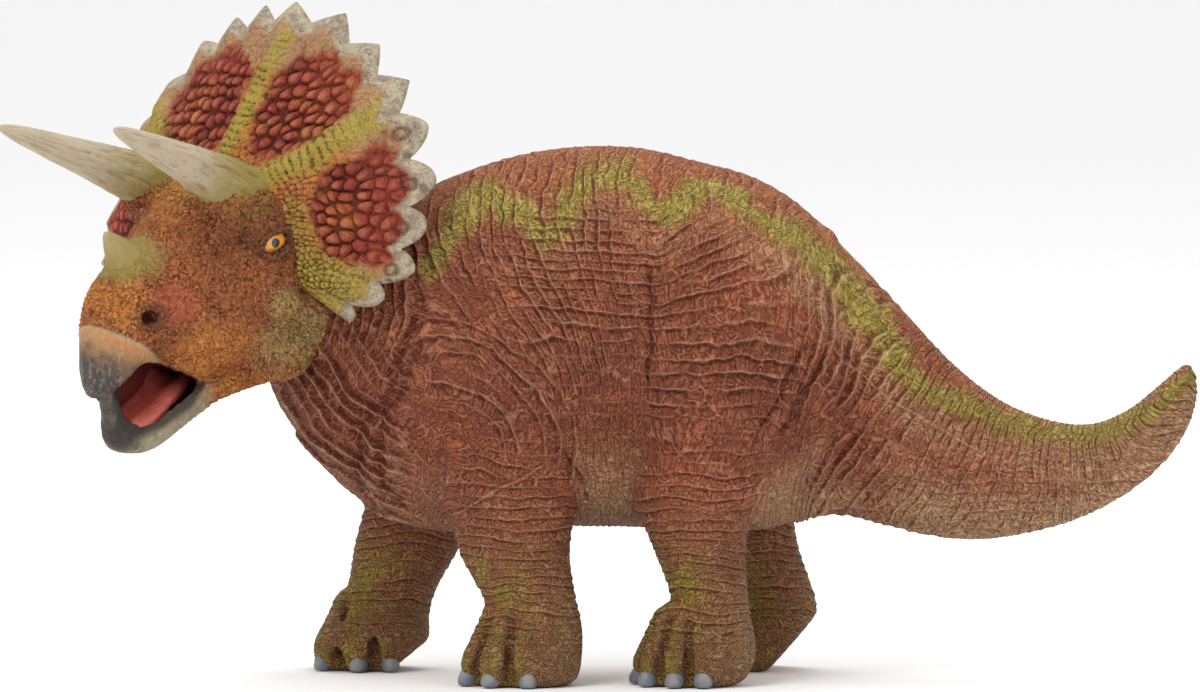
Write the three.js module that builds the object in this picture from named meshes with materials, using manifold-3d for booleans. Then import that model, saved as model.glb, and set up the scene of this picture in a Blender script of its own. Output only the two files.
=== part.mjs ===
// A horned dinosaur toy figure, standing on four feet with its head turned to its left.
// Millimetres, +Z up, the head towards -X and the figure's left side towards -Y.
// The soles stand on z = 0. The body is a two-part shell over a light core, and the tail,
// legs, head, frill, jaw and horns are separate mouldings that plug into one another.
import * as THREE from 'three';
import { mergeVertices } from 'three/addons/utils/BufferGeometryUtils.js';
import Module from 'manifold-3d';

const wasm = await Module();
wasm.setup();

// Driving dimensions of the whole figure
const backHeight = 106.7;
const trunkLength = 112;
const trunkWidth = 62;
const tailLength = 78;
const tailHeight = 88.6;
const tailWidth = 34;
const frontLegHeight = 78;
const hindLegHeight = 86;
const footLength = 24;
const footWidth = 21;
const footOutward = 20.5;
const frontLeftFootAlong = -15.8;
const frontRightFootAlong = -46.4;
const hindLeftFootAlong = 18.6;
const hindRightFootAlong = 30.8;
const frontHeelRise = 6.2;
const hindHeelRise = 10;
const skullLength = 58;
const skullHeight = 44;
const skullWidth = 37;
const headTurn = THREE.MathUtils.degToRad(50);

// Fits: the shell's wall and the gap between neighbours
const jointGap = 0.3;
const shellWall = 4;

// Roundness of the sections, and how finely they are drawn
const roundPower = 2;
const bodyPower = 2.2;
const trunkSides = 24;
const tailSides = 20;
const legSides = 18;
const hornSides = 12;
const stepsPerSection = 2;
const stepsPerHeadSection = 1;

// Where the figure's parts lie along it
const tailJointAlong = 46;
const headAlong = -77;
const headAcross = -14;
const headHigh = 88;

// Trunk sections from the tail joint to the throat. Each row holds, for its top point and
// its bottom point, how far forward and how high they lie, then the half width of the
// section, and how far the section turns with the head.
const trunkSectionShares = [
  [0.000, 0.834, 0.054, 0.296, 0.55, 0.0],
  [0.071, 0.898, 0.089, 0.284, 0.71, 0.0],
  [0.143, 0.939, 0.143, 0.274, 0.83, 0.0],
  [0.232, 0.965, 0.232, 0.275, 0.93, 0.0],
  [0.339, 0.991, 0.339, 0.281, 1.00, 0.0],
  [0.446, 0.994, 0.446, 0.283, 1.01, 0.0],
  [0.554, 0.978, 0.554, 0.280, 0.98, 0.0],
  [0.661, 0.943, 0.652, 0.272, 0.90, 0.0],
  [0.750, 0.905, 0.750, 0.284, 0.78, 0.0],
  [0.830, 0.880, 0.836, 0.326, 0.67, 0.1],
  [0.893, 0.865, 0.912, 0.402, 0.58, 0.2],
  [0.946, 0.850, 0.968, 0.489, 0.49, 0.35],
  [0.982, 0.820, 0.992, 0.564, 0.36, 0.5],
];

// Tail sections from the joint to the tip, written the same way from the joint backwards.
// The last column is how far the tail bends to the figure's right.
const tailSectionShares = [
  [0.000, 1.000, -0.077, 0.356, 1.00, 0.0],
  [0.090, 0.920, 0.032, 0.365, 0.88, 0.0],
  [0.192, 0.823, 0.141, 0.342, 0.78, 0.0],
  [0.308, 0.713, 0.256, 0.318, 0.68, 0.05],
  [0.430, 0.628, 0.372, 0.309, 0.59, 0.12],
  [0.551, 0.582, 0.487, 0.320, 0.50, 0.22],
  [0.667, 0.569, 0.628, 0.352, 0.42, 0.34],
  [0.763, 0.600, 0.756, 0.408, 0.35, 0.48],
  [0.827, 0.642, 0.853, 0.476, 0.29, 0.64],
  [0.878, 0.680, 0.914, 0.548, 0.23, 0.80],
  [0.908, 0.702, 0.942, 0.615, 0.15, 0.92],
  [0.928, 0.707, 0.945, 0.672, 0.07, 1.00],
];
const tailBend = 5;

// The hollow runs between these two of the trunk's sections
const hollowFirstSection = 1;
const hollowLastSection = 9;

// Leg sections from the sole upwards: height, then half depth and half width.
const frontLegShares = [
  [0.000, 0.86, 0.90],
  [0.020, 0.96, 1.00],
  [0.070, 0.98, 1.00],
  [0.125, 0.87, 0.88],
  [0.172, 0.77, 0.78],
  [0.225, 0.77, 0.78],
  [0.325, 0.90, 0.86],
  [0.430, 1.02, 0.98],
  [0.575, 1.22, 1.28],
  [0.740, 1.25, 1.72],
  [0.880, 0.92, 1.50],
  [1.000, 0.40, 0.80],
];
const hindLegShares = [
  [0.000, 0.80, 0.88],
  [0.018, 0.90, 0.98],
  [0.063, 0.96, 0.98],
  [0.110, 0.87, 0.86],
  [0.156, 0.70, 0.72],
  [0.202, 0.64, 0.70],
  [0.295, 0.74, 0.80],
  [0.390, 0.92, 0.95],
  [0.510, 1.20, 1.22],
  [0.640, 1.42, 1.45],
  [0.780, 1.36, 1.42],
  [0.900, 0.95, 1.15],
  [1.000, 0.45, 0.70],
];

// How far each leg section lies behind the foot's middle, and how far it leans in.
const frontLegInwardShares = [0, 0, 0, 0.02, 0.04, 0.06, 0.11, 0.16, 0.22, 0.30, 0.36, 0.40];
const hindLegInwardShares = [0, 0, 0, 0.02, 0.04, 0.06, 0.10, 0.14, 0.20, 0.28, 0.34, 0.38, 0.40];

// Each leg: its foot's place, its lean, the part of its sole that stands flat, and its side
const legPlans = [
  {
    name: 'front_leg_left',
    side: -1,
    front: true,
    footAlong: frontLeftFootAlong,
    leanShares: [-0.03, 0, 0.02, 0.08, 0.11, 0.07, -0.04, -0.07, -0.11, -0.21, -0.27, -0.27],
    flatSoleShare: 1,
    heelRise: 0,
  },
  {
    name: 'front_leg_right',
    side: 1,
    front: true,
    footAlong: frontRightFootAlong,
    leanShares: [0, 0, 0.01, 0.06, 0.13, 0.20, 0.32, 0.47, 0.66, 0.80, 0.88, 0.88],
    flatSoleShare: 0.66,
    heelRise: frontHeelRise,
  },
  {
    name: 'hind_leg_left',
    side: -1,
    front: false,
    footAlong: hindLeftFootAlong,
    leanShares: [-0.05, -0.01, 0.03, 0.07, 0.12, 0.13, 0.06, 0.02, 0.08, 0.19, 0.27, 0.29, 0.29],
    flatSoleShare: 1,
    heelRise: 0,
  },
  {
    name: 'hind_leg_right',
    side: 1,
    front: false,
    footAlong: hindRightFootAlong,
    leanShares: [0, 0.02, 0.05, 0.12, 0.19, 0.17, 0.01, -0.11, -0.15, -0.17, -0.18, -0.18, -0.18],
    flatSoleShare: 0.62,
    heelRise: hindHeelRise,
  },
];

// Toes and claws, laid round the front of each foot
const toeCount = 4;
const toeSpread = THREE.MathUtils.degToRad(104);
const toeRadius = 4;
const toeHigh = 3;
const toeSides = 10;
const toeRings = 6;
const clawRadius = 2;
const clawLength = 3;
const clawHigh = 2.1;
const clawSides = 8;
const clawRings = 6;
const legPegRadius = 5;
const legPegFoot = 26;
const legPegTop = 52;

// The tail's plug and the pegs that locate one shell half on the other
const tailPlugRadius = 8;
const tailPlugLength = 16;
const locatingPegRadius = 1.1;
const locatingPegReach = 2.6;
const locatingPegShares = [0.12, 0.4, 0.68];

// Skull sections from the back of the cheeks to the beak, in the head's own frame: how far
// forward, how high the top and the bottom lie about the eye line, and the half width.
const skullSectionShares = [
  [-0.290, 0.205, -0.390, 0.70],
  [-0.205, 0.330, -0.475, 0.92],
  [-0.085, 0.375, -0.570, 1.00],
  [0.020, 0.340, -0.615, 0.99],
  [0.120, 0.250, -0.650, 0.86],
  [0.225, 0.135, -0.670, 0.74],
  [0.310, 0.035, -0.636, 0.63],
  [0.380, -0.040, -0.560, 0.55],
  [0.450, -0.090, -0.570, 0.48],
  [0.517, -0.140, -0.648, 0.39],
  [0.572, -0.205, -0.686, 0.28],
  [0.610, -0.320, -0.686, 0.16],
  [0.634, -0.443, -0.625, 0.07],
];
const skullSides = 22;
const skullPower = 2.3;

// Raised forms on both sides of the face: brow, cheek horn, nostril mound and jaw angle.
// Each row holds how far forward, out and high its middle lies, then its three half sizes,
// as shares of the skull's length, width and height.
const faceFormShares = [
  [-0.009, 0.338, 0.155, 0.181, 0.097, 0.077],
  [-0.043, 0.465, -0.277, 0.079, 0.062, 0.073],
  [0.388, 0.170, -0.309, 0.079, 0.070, 0.082],
  [-0.241, 0.419, -0.341, 0.103, 0.108, 0.136],
];
const faceFormSides = 12;
const faceFormRings = 8;

// Neck plug on the back of the skull
const neckPlugRadius = 9;
const neckPlugStart = -8;
const neckPlugLength = 24;
const neckPlugHigh = -9;

// Lower jaw sections, written like the skull's
const jawSectionShares = [
  [-0.140, -0.455, -0.660, 0.67],
  [0.000, -0.510, -0.693, 0.65],
  [0.140, -0.570, -0.740, 0.60],
  [0.240, -0.625, -0.818, 0.54],
  [0.328, -0.670, -0.893, 0.48],
  [0.380, -0.750, -0.932, 0.42],
  [0.428, -0.800, -0.945, 0.34],
  [0.474, -0.750, -0.920, 0.25],
  [0.510, -0.670, -0.852, 0.16],
  [0.532, -0.660, -0.773, 0.08],
];
const jawSides = 16;

// Tongue sections, written the same way
const tongueSectionShares = [
  [0.190, -0.570, -0.670, 0.20],
  [0.290, -0.625, -0.730, 0.26],
  [0.362, -0.693, -0.795, 0.27],
  [0.425, -0.750, -0.855, 0.22],
  [0.470, -0.780, -0.855, 0.11],
];
const tongueSides = 12;

// Horns: base, middle and tip as shares of the skull's length, width and height from the
// eye line's origin, and the horn's radii along it as shares of its widest
const browHornPointShares = [
  [-0.069, 0.227, 0.173],
  [0.343, 0.330, 0.348],
  [0.779, 0.416, 0.521],
];
const browHornRadius = 6;
const browHornRadiusShares = [1, 0.97, 0.87, 0.74, 0.60, 0.47, 0.34, 0.17];
const noseHornPointShares = [
  [0.353, 0, -0.205],
  [0.448, 0, -0.068],
  [0.538, 0, 0.050],
];
const noseHornRadius = 5.6;
const noseHornRadiusShares = [1, 0.98, 0.80, 0.58, 0.36, 0.12];

// Eyes
const eyeRadius = 2.9;
const eyeForward = 0;
const eyeOutward = 15.6;
const eyeHigh = 0.8;
const eyeSides = 14;
const eyeRings = 8;

// Frill: a fan about a centre in the head's frame, leaning and sweeping back
const frillCentreForward = -2;
const frillCentreHigh = 2;
const frillFoldHigh = 8;
const frillFoldSoftness = 4;
const frillLean = 0.665;
const frillLowerLean = 0.3;
const frillSweepGain = 1.4;
const frillSweepRadius = 61;
const frillReach = 42;
const frillInnerRadius = 13;
const frillThickness = 5;
const frillRimThickness = 2.4;
const frillSpikeDepth = 3.4;
const frillRingShares = [0, 0.4, 0.8, 1];

// Ridges that run out over the frill's front: the angle of each from upright, in degrees,
// and its half width as a share of the frill's reach
const frillRidgeHeight = 2.3;
const frillRidgeShares = [
  [-53, 0.13],
  [4.5, 0.10],
  [53, 0.13],
];

// The frill's spikes from its right lower lobe over the top to its left lower lobe: the
// angle of each from upright, in degrees, and its tip's share of the frill's reach
const frillTipShares = [
  [-122, 0.72],
  [-112, 0.90],
  [-101, 1.04],
  [-90, 1.07],
  [-76, 1.055],
  [-62, 1.045],
  [-49, 1.04],
  [-34, 1.06],
  [-21, 1.065],
  [-10.5, 1.07],
  [0, 1.07],
  [17, 1.065],
  [32, 1.03],
  [46.5, 1.025],
  [61, 1.02],
  [76.5, 1.025],
  [89, 1.00],
  [101, 1.00],
  [112, 0.90],
  [122, 0.80],
];

// Between two tips: how far along, and how far the rim drops into the valley
const scallopShares = [
  [0.25, 0.3],
  [0.5, 1],
  [0.75, 0.3],
];

// Colours of the mouldings
const brick = new THREE.MeshStandardMaterial({ color: 0x9a5238, roughness: 0.78, metalness: 0 });
const olive = new THREE.MeshStandardMaterial({ color: 0x8a7a45, roughness: 0.8, metalness: 0 });
const boneGrey = new THREE.MeshStandardMaterial({ color: 0xa89c86, roughness: 0.7, metalness: 0 });
const faceRed = new THREE.MeshStandardMaterial({ color: 0xa8603a, roughness: 0.75, metalness: 0 });
const frillRed = new THREE.MeshStandardMaterial({ color: 0x9c4a35, roughness: 0.75, metalness: 0 });
const tonguePink = new THREE.MeshStandardMaterial({ color: 0xb0554a, roughness: 0.5, metalness: 0 });
const irisOrange = new THREE.MeshStandardMaterial({ color: 0xe09535, roughness: 0.25, metalness: 0 });
const coreGrey = new THREE.MeshStandardMaterial({ color: 0xc9c4b8, roughness: 0.95, metalness: 0 });

// General helpers

// One closed skin over a row of rings that all have the same number of points
function skinOverRings(rings) {
  const sides = rings[0].length;
  const points = rings.flat();
  const faces = [];
  for (let row = 0; row + 1 < rings.length; row += 1) {
    for (let side = 0; side < sides; side += 1) {
      const next = (side + 1) % sides;
      const here = row * sides;
      const there = here + sides;
      faces.push(here + side, here + next, there + next);
      faces.push(here + side, there + next, there + side);
    }
  }
  for (const [row, flip] of [[0, true], [rings.length - 1, false]]) {
    const middle = new THREE.Vector3();
    for (const point of rings[row]) middle.addScaledVector(point, 1 / sides);
    points.push(middle);
    for (let side = 0; side < sides; side += 1) {
      const next = (side + 1) % sides;
      const edge = [row * sides + side, row * sides + next];
      if (flip) edge.reverse();
      faces.push(edge[0], edge[1], points.length - 1);
    }
  }
  return facedOutward(points, faces);
}

// A geometry whose faces point out, whichever way its rings ran
function facedOutward(points, faces) {
  let volume = 0;
  for (let face = 0; face < faces.length; face += 3) {
    const [a, b, c] = [points[faces[face]], points[faces[face + 1]], points[faces[face + 2]]];
    volume += a.dot(b.clone().cross(c));
  }
  const geometry = new THREE.BufferGeometry().setFromPoints(points);
  geometry.setIndex(volume < 0 ? faces.reverse() : faces);
  return geometry;
}

function toSolid(geometry) {
  const bare = geometry.clone();
  bare.deleteAttribute('normal');
  bare.deleteAttribute('uv');
  const welded = mergeVertices(bare);
  const vertProperties = new Float32Array(welded.attributes.position.array);
  const triVerts = new Uint32Array(welded.index.array);
  return new wasm.Manifold(new wasm.Mesh({ numProp: 3, vertProperties, triVerts }));
}

function toGeometry(solid) {
  const mesh = solid.getMesh();
  const geometry = new THREE.BufferGeometry();
  geometry.setAttribute('position', new THREE.BufferAttribute(mesh.vertProperties, mesh.numProp));
  geometry.setIndex(new THREE.BufferAttribute(mesh.triVerts, 1));
  geometry.computeVertexNormals();
  return geometry;
}

function namedMesh(name, solid, material) {
  const mesh = new THREE.Mesh(toGeometry(solid), material.clone());
  mesh.name = name;
  return mesh;
}

// A closed oval ring about a middle, spanned by two half axes
function ovalRing(middle, halfA, halfB, power, sides) {
  const ring = [];
  for (let side = 0; side < sides; side += 1) {
    const turn = (side / sides) * Math.PI * 2;
    const along = Math.sign(Math.cos(turn)) * Math.abs(Math.cos(turn)) ** (2 / power);
    const across = Math.sign(Math.sin(turn)) * Math.abs(Math.sin(turn)) ** (2 / power);
    ring.push(middle.clone().addScaledVector(halfA, along).addScaledVector(halfB, across));
  }
  return ring;
}

// Sections with in-between ones added on a smooth curve through each of their points
function smoothSections(sections, steps) {
  const curves = ['top', 'bottom', 'shape'].map(
    (key) => new THREE.CatmullRomCurve3(sections.map((section) => section[key])),
  );
  const count = (sections.length - 1) * steps;
  const fine = [];
  for (let index = 0; index <= count; index += 1) {
    const [top, bottom, shape] = curves.map((curve) => curve.getPoint(index / count));
    fine.push({ top, bottom, shape });
  }
  return fine;
}

// A body over upright sections. A section's shape holds its half width and its turn. The
// sides grow by one value, and the two flat ends move out by another.
function bodyOverSections(sections, grow, power, sides, endGrow = grow) {
  const rings = sections.map((section, index) => {
    const rise = section.top.clone().sub(section.bottom);
    const up = rise.clone().normalize();
    const side = new THREE.Vector3(0, 1, 0).applyAxisAngle(new THREE.Vector3(0, 0, 1), section.shape.y);
    const ahead = side.clone().cross(up).normalize();
    const middle = section.top.clone().add(section.bottom).multiplyScalar(1 / 2);
    const neighbour = sections[index === 0 ? 1 : index - 1];
    const away = Math.sign(ahead.dot(section.top.clone().sub(neighbour.top)));
    const isEnd = index === 0 || index === sections.length - 1;
    if (isEnd) middle.addScaledVector(ahead, away * endGrow);
    const halfHeight = up.multiplyScalar(rise.length() / 2 + grow);
    const halfWidth = side.multiplyScalar(section.shape.x + grow);
    return ovalRing(middle, halfWidth, halfHeight, power, sides);
  });
  return toSolid(skinOverRings(rings));
}

function cylinderBetween(start, end, radius, sides) {
  const reach = end.clone().sub(start);
  const geometry = new THREE.CylinderGeometry(radius, radius, reach.length(), sides);
  const turn = new THREE.Quaternion().setFromUnitVectors(
    new THREE.Vector3(0, 1, 0),
    reach.clone().normalize(),
  );
  geometry.applyQuaternion(turn);
  const middle = start.clone().add(end).multiplyScalar(1 / 2);
  geometry.translate(middle.x, middle.y, middle.z);
  return toSolid(geometry);
}

function placedSphere(middle, radii, sides, rings) {
  const geometry = new THREE.SphereGeometry(1, sides, rings);
  geometry.scale(radii.x, radii.y, radii.z);
  geometry.translate(middle.x, middle.y, middle.z);
  return toSolid(geometry);
}

function placedBox(low, high) {
  const size = high.clone().sub(low);
  const geometry = new THREE.BoxGeometry(size.x, size.y, size.z);
  const middle = low.clone().add(high).multiplyScalar(1 / 2);
  geometry.translate(middle.x, middle.y, middle.z);
  return toSolid(geometry);
}

// Trunk and tail

const trunkSections = smoothSections(
  trunkSectionShares.map(([topAlong, topHigh, bottomAlong, bottomHigh, half, turn]) => ({
    top: new THREE.Vector3(tailJointAlong - topAlong * trunkLength, 0, topHigh * backHeight),
    bottom: new THREE.Vector3(tailJointAlong - bottomAlong * trunkLength, 0, bottomHigh * backHeight),
    shape: new THREE.Vector3((half * trunkWidth) / 2, turn * headTurn, 0),
  })),
  stepsPerSection,
);

const tailSections = smoothSections(
  tailSectionShares.map(([topAlong, topHigh, bottomAlong, bottomHigh, half, bend]) => ({
    top: new THREE.Vector3(tailJointAlong + topAlong * tailLength, bend * tailBend, topHigh * tailHeight),
    bottom: new THREE.Vector3(
      tailJointAlong + bottomAlong * tailLength,
      bend * tailBend,
      bottomHigh * tailHeight,
    ),
    shape: new THREE.Vector3((half * tailWidth) / 2, 0, 0),
  })),
  stepsPerSection,
);

function trunkBody(grow) {
  return bodyOverSections(trunkSections, grow, bodyPower, trunkSides);
}

// The hollow in the shell stops short of the tail joint and of the throat
function trunkHollow(gap) {
  const first = hollowFirstSection * stepsPerSection;
  const last = hollowLastSection * stepsPerSection;
  const sections = trunkSections.slice(first, last + 1);
  return bodyOverSections(sections, -shellWall - gap, bodyPower, trunkSides, -gap);
}

// The plug runs from inside the tail into the body, square to the joint's flat face
function tailPlug(grow) {
  const [joint] = trunkSections;
  const middle = joint.top.clone().add(joint.bottom).multiplyScalar(1 / 2);
  const rise = joint.top.clone().sub(joint.bottom).normalize();
  const forward = rise.clone().cross(new THREE.Vector3(0, 1, 0)).normalize();
  if (forward.x > 0) forward.negate();
  const inner = middle.clone().addScaledVector(forward, tailPlugLength + grow);
  const outer = middle.clone().addScaledVector(forward, -tailPlugRadius);
  return cylinderBetween(outer, inner, tailPlugRadius + grow, tailSides);
}

function tailBody(grow) {
  return bodyOverSections(tailSections, grow, bodyPower, tailSides);
}

function makeTail() {
  return tailBody(0).subtract(trunkBody(jointGap)).add(tailPlug(0));
}

// The peg bridges the parting plane in the middle of the shell's wall
function locatingPeg(share, grow) {
  const section = trunkSections[Math.round(share * (trunkSections.length - 1))];
  const down = section.bottom.clone().sub(section.top).normalize();
  const middle = section.top.clone().addScaledVector(down, shellWall / 2);
  const reach = new THREE.Vector3(0, locatingPegReach + grow, 0);
  return cylinderBetween(
    middle.clone().sub(reach),
    middle.clone().add(reach),
    locatingPegRadius + grow,
    hornSides,
  );
}

// Everything on one side of the parting plane, clear of the plane by half the joint gap
function sideOfParting(side) {
  const far = trunkLength + backHeight;
  const near = jointGap / 2;
  const low = new THREE.Vector3(-far, side < 0 ? -far : near, -far);
  const high = new THREE.Vector3(far, side < 0 ? -near : far, far);
  return placedBox(low, high);
}

// Legs

function legMiddle(plan, index) {
  const inward = plan.front ? frontLegInwardShares : hindLegInwardShares;
  const along = plan.footAlong + plan.leanShares[index] * footLength;
  const across = plan.side * footOutward * (1 - inward[index]);
  return { along, across };
}

function legBody(plan, grow) {
  const shares = plan.front ? frontLegShares : hindLegShares;
  const height = plan.front ? frontLegHeight : hindLegHeight;
  const middles = [];
  const halves = [];
  shares.forEach(([high, depth, width], index) => {
    const { along, across } = legMiddle(plan, index);
    middles.push(new THREE.Vector3(along, across, high * height));
    halves.push(new THREE.Vector3((depth * footLength) / 2, (width * footWidth) / 2, 0));
  });
  const middleCurve = new THREE.CatmullRomCurve3(middles);
  const halfCurve = new THREE.CatmullRomCurve3(halves);
  const count = middles.length - 1;
  const rings = [];
  for (let index = 0; index <= count; index += 1) {
    const middle = middleCurve.getPoint(index / count);
    const half = halfCurve.getPoint(index / count);
    const halfDepth = new THREE.Vector3(half.x + grow, 0, 0);
    const halfWidth = new THREE.Vector3(0, half.y + grow, 0);
    rings.push(ovalRing(middle, halfDepth, halfWidth, bodyPower, legSides));
  }
  return toSolid(skinOverRings(rings));
}

// Toes fan out round the front of the foot, each with a claw at its end
function toesOf(plan) {
  let toes = null;
  for (let index = 0; index < toeCount; index += 1) {
    const turn = (index / (toeCount - 1) - 1 / 2) * toeSpread;
    const out = new THREE.Vector3(-Math.cos(turn), Math.sin(turn), 0);
    const rim = new THREE.Vector3((out.x * footLength) / 2, (out.y * footWidth) / 2, 0);
    const foot = new THREE.Vector3(plan.footAlong, plan.side * footOutward, 0);
    const toeMiddle = foot.clone().add(rim).addScaledVector(out, -toeRadius);
    const toe = placedSphere(
      toeMiddle.setZ(toeHigh),
      new THREE.Vector3(toeRadius + clawLength / 2, toeRadius, toeHigh + clawHigh),
      toeSides,
      toeRings,
    );
    const clawMiddle = foot.clone().add(rim).addScaledVector(out, -clawLength / 4);
    const claw = placedSphere(
      clawMiddle.setZ(clawHigh),
      new THREE.Vector3(clawLength, clawRadius, clawRadius),
      clawSides,
      clawRings,
    );
    const digit = toe.add(claw);
    toes = toes ? toes.add(digit) : digit;
  }
  const reach = footLength * 2;
  const ground = placedBox(
    new THREE.Vector3(plan.footAlong - reach, -reach * 2, -reach),
    new THREE.Vector3(plan.footAlong + reach, reach * 2, 0),
  );
  return toes.subtract(ground);
}

// The wedge of air under a lifted heel
function heelWedge(plan) {
  const hinge = plan.footAlong - footLength / 2 + plan.flatSoleShare * footLength;
  const run = plan.footAlong + footLength / 2 - hinge;
  const slope = Math.atan2(plan.heelRise, run);
  const reach = footLength + plan.heelRise;
  const geometry = new THREE.BoxGeometry(reach, reach * 2, reach);
  geometry.translate(reach / 2, 0, -reach / 2);
  geometry.rotateY(-slope);
  geometry.translate(hinge, plan.side * footOutward, 0);
  return toSolid(geometry);
}

function legPeg(plan, grow) {
  const shares = plan.front ? frontLegShares : hindLegShares;
  const height = plan.front ? frontLegHeight : hindLegHeight;
  const index = shares.findIndex(([high]) => high * height > legPegFoot);
  const { along, across } = legMiddle(plan, index);
  return cylinderBetween(
    new THREE.Vector3(along, across, legPegFoot),
    new THREE.Vector3(along, across, legPegTop + grow),
    legPegRadius + grow,
    hornSides,
  );
}

function makeLeg(plan) {
  let leg = legBody(plan, 0).add(toesOf(plan));
  if (plan.heelRise > 0) leg = leg.subtract(heelWedge(plan));
  return leg.subtract(trunkBody(jointGap)).subtract(tailBody(jointGap)).add(legPeg(plan, 0));
}

// Head, in its own frame: +X forward, +Y to the figure's left, +Z up from the eye line

function headSections(shares) {
  return smoothSections(
    shares.map(([forward, top, bottom, half]) => ({
      top: new THREE.Vector3(forward * skullLength, 0, top * skullHeight),
      bottom: new THREE.Vector3(forward * skullLength, 0, bottom * skullHeight),
      shape: new THREE.Vector3((half * skullWidth) / 2, 0, 0),
    })),
    stepsPerHeadSection,
  );
}

function jawBody(grow) {
  return bodyOverSections(headSections(jawSectionShares), grow, skullPower, jawSides);
}

function tongueBody(grow) {
  return bodyOverSections(headSections(tongueSectionShares), grow, bodyPower, tongueSides);
}

function neckPlug(grow) {
  const back = new THREE.Vector3(-1, 0, 0).applyAxisAngle(new THREE.Vector3(0, 0, 1), -headTurn / 2);
  const start = new THREE.Vector3(neckPlugStart, 0, neckPlugHigh);
  const end = start.clone().addScaledVector(back, neckPlugLength + grow);
  return cylinderBetween(start, end, neckPlugRadius + grow, skullSides);
}

// One raised form of the face, on one side
function faceForm([forward, out, high, halfForward, halfOut, halfHigh], side, grow) {
  const middle = new THREE.Vector3(forward * skullLength, side * out * skullWidth, high * skullHeight);
  const radii = new THREE.Vector3(halfForward * skullLength, halfOut * skullWidth, halfHigh * skullHeight);
  return placedSphere(middle, radii.addScalar(grow), faceFormSides, faceFormRings);
}

function skullBody(grow) {
  let head = bodyOverSections(headSections(skullSectionShares), grow, skullPower, skullSides);
  for (const side of [-1, 1]) {
    for (const form of faceFormShares) head = head.add(faceForm(form, side, grow));
  }
  return head.add(neckPlug(grow));
}

// A horn with round sections on a curve through its base, middle and tip, on one side
function hornBody(pointShares, radius, radiusShares, side, grow) {
  const points = pointShares.map(
    ([forward, out, high]) =>
      new THREE.Vector3(forward * skullLength, out * side * skullWidth, high * skullHeight),
  );
  const curve = new THREE.CatmullRomCurve3(points);
  const count = radiusShares.length - 1;
  const rings = radiusShares.map((share, index) => {
    const along = index / count;
    const ahead = curve.getTangent(along);
    const across = new THREE.Vector3(0, 1, 0);
    across.addScaledVector(ahead, -across.dot(ahead)).normalize();
    const up = ahead.clone().cross(across);
    const reach = radius * share + grow;
    const point = curve.getPoint(along);
    if (index === 0) point.addScaledVector(ahead, -grow);
    return ovalRing(point, across.multiplyScalar(reach), up.multiplyScalar(reach), roundPower, hornSides);
  });
  return toSolid(skinOverRings(rings));
}

function browHorn(side, grow) {
  return hornBody(browHornPointShares, browHornRadius, browHornRadiusShares, side, grow);
}

function noseHorn(grow) {
  return hornBody(noseHornPointShares, noseHornRadius, noseHornRadiusShares, 1, grow);
}

function eyeBody(side, grow) {
  const radius = eyeRadius + grow;
  return placedSphere(
    new THREE.Vector3(eyeForward, eyeOutward * side, eyeHigh),
    new THREE.Vector3(radius, radius, radius),
    eyeSides,
    eyeRings,
  );
}

// How far forward the frill's middle surface lies
function frillForward(across, high) {
  const rise = high - frillFoldHigh;
  const fold = Math.hypot(rise, frillFoldSoftness) - frillFoldSoftness;
  const lean = rise > 0 ? frillLean : frillLowerLean;
  const sweep = frillSweepRadius - Math.sqrt(frillSweepRadius ** 2 - across ** 2);
  const gain = 1 + (frillSweepGain * Math.min(rise, 0)) / frillReach;
  return frillCentreForward - lean * fold - sweep * gain;
}

// The rim as a row of angles and reaches, with a scallop from each tip to the next
function frillRim() {
  const rim = [];
  frillTipShares.forEach(([degrees, share], index) => {
    rim.push({ degrees, reach: share * frillReach });
    if (index + 1 === frillTipShares.length) return;
    const [nextDegrees, nextShare] = frillTipShares[index + 1];
    for (const [between, drop] of scallopShares) {
      const level = share + (nextShare - share) * between;
      rim.push({
        degrees: degrees + (nextDegrees - degrees) * between,
        reach: level * frillReach - drop * frillSpikeDepth,
      });
    }
  });
  return rim;
}

// How far the frill's ridges stand out at an angle, at a distance from the frill's centre
function frillRidge(degrees, out) {
  const lifts = frillRidgeShares.map(([ridgeDegrees, halfShare]) => {
    const gap = THREE.MathUtils.degToRad(degrees - ridgeDegrees) * out;
    return frillRidgeHeight * Math.max(0, 1 - (gap / (halfShare * frillReach)) ** 2);
  });
  return Math.max(...lifts);
}

function frillBody(grow) {
  const rings = frillRim().map(({ degrees, reach }, index, rim) => {
    const isEnd = index === 0 || index === rim.length - 1;
    const endTurn = isEnd ? Math.sign(degrees) * Math.atan(grow / frillInnerRadius) : 0;
    const turn = THREE.MathUtils.degToRad(degrees) + endTurn;
    const inner = frillInnerRadius - grow;
    const front = [];
    const back = [];
    for (const share of frillRingShares) {
      const out = inner + (reach + grow - inner) * share;
      const across = out * Math.sin(turn);
      const high = frillCentreHigh + out * Math.cos(turn);
      const middle = frillForward(across, high);
      const half = (frillThickness + (frillRimThickness - frillThickness) * share) / 2 + grow;
      const ridge = share < 1 ? frillRidge(degrees, out) : 0;
      front.push(new THREE.Vector3(middle + half + ridge, across, high));
      back.push(new THREE.Vector3(middle - half, across, high));
    }
    return [...front, ...back.reverse()];
  });
  return toSolid(skinOverRings(rings));
}

// The frill sits round the skull like a collar, clear of it and of the horn roots
function makeFrill() {
  let frill = frillBody(0).subtract(skullBody(jointGap));
  for (const side of [-1, 1]) frill = frill.subtract(browHorn(side, jointGap));
  return frill;
}

function makeSkull() {
  let skull = skullBody(0);
  for (const side of [-1, 1]) {
    skull = skull.subtract(browHorn(side, jointGap)).subtract(eyeBody(side, jointGap));
  }
  return skull.subtract(noseHorn(jointGap)).subtract(jawBody(jointGap)).subtract(tongueBody(jointGap));
}

// Assembly

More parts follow.
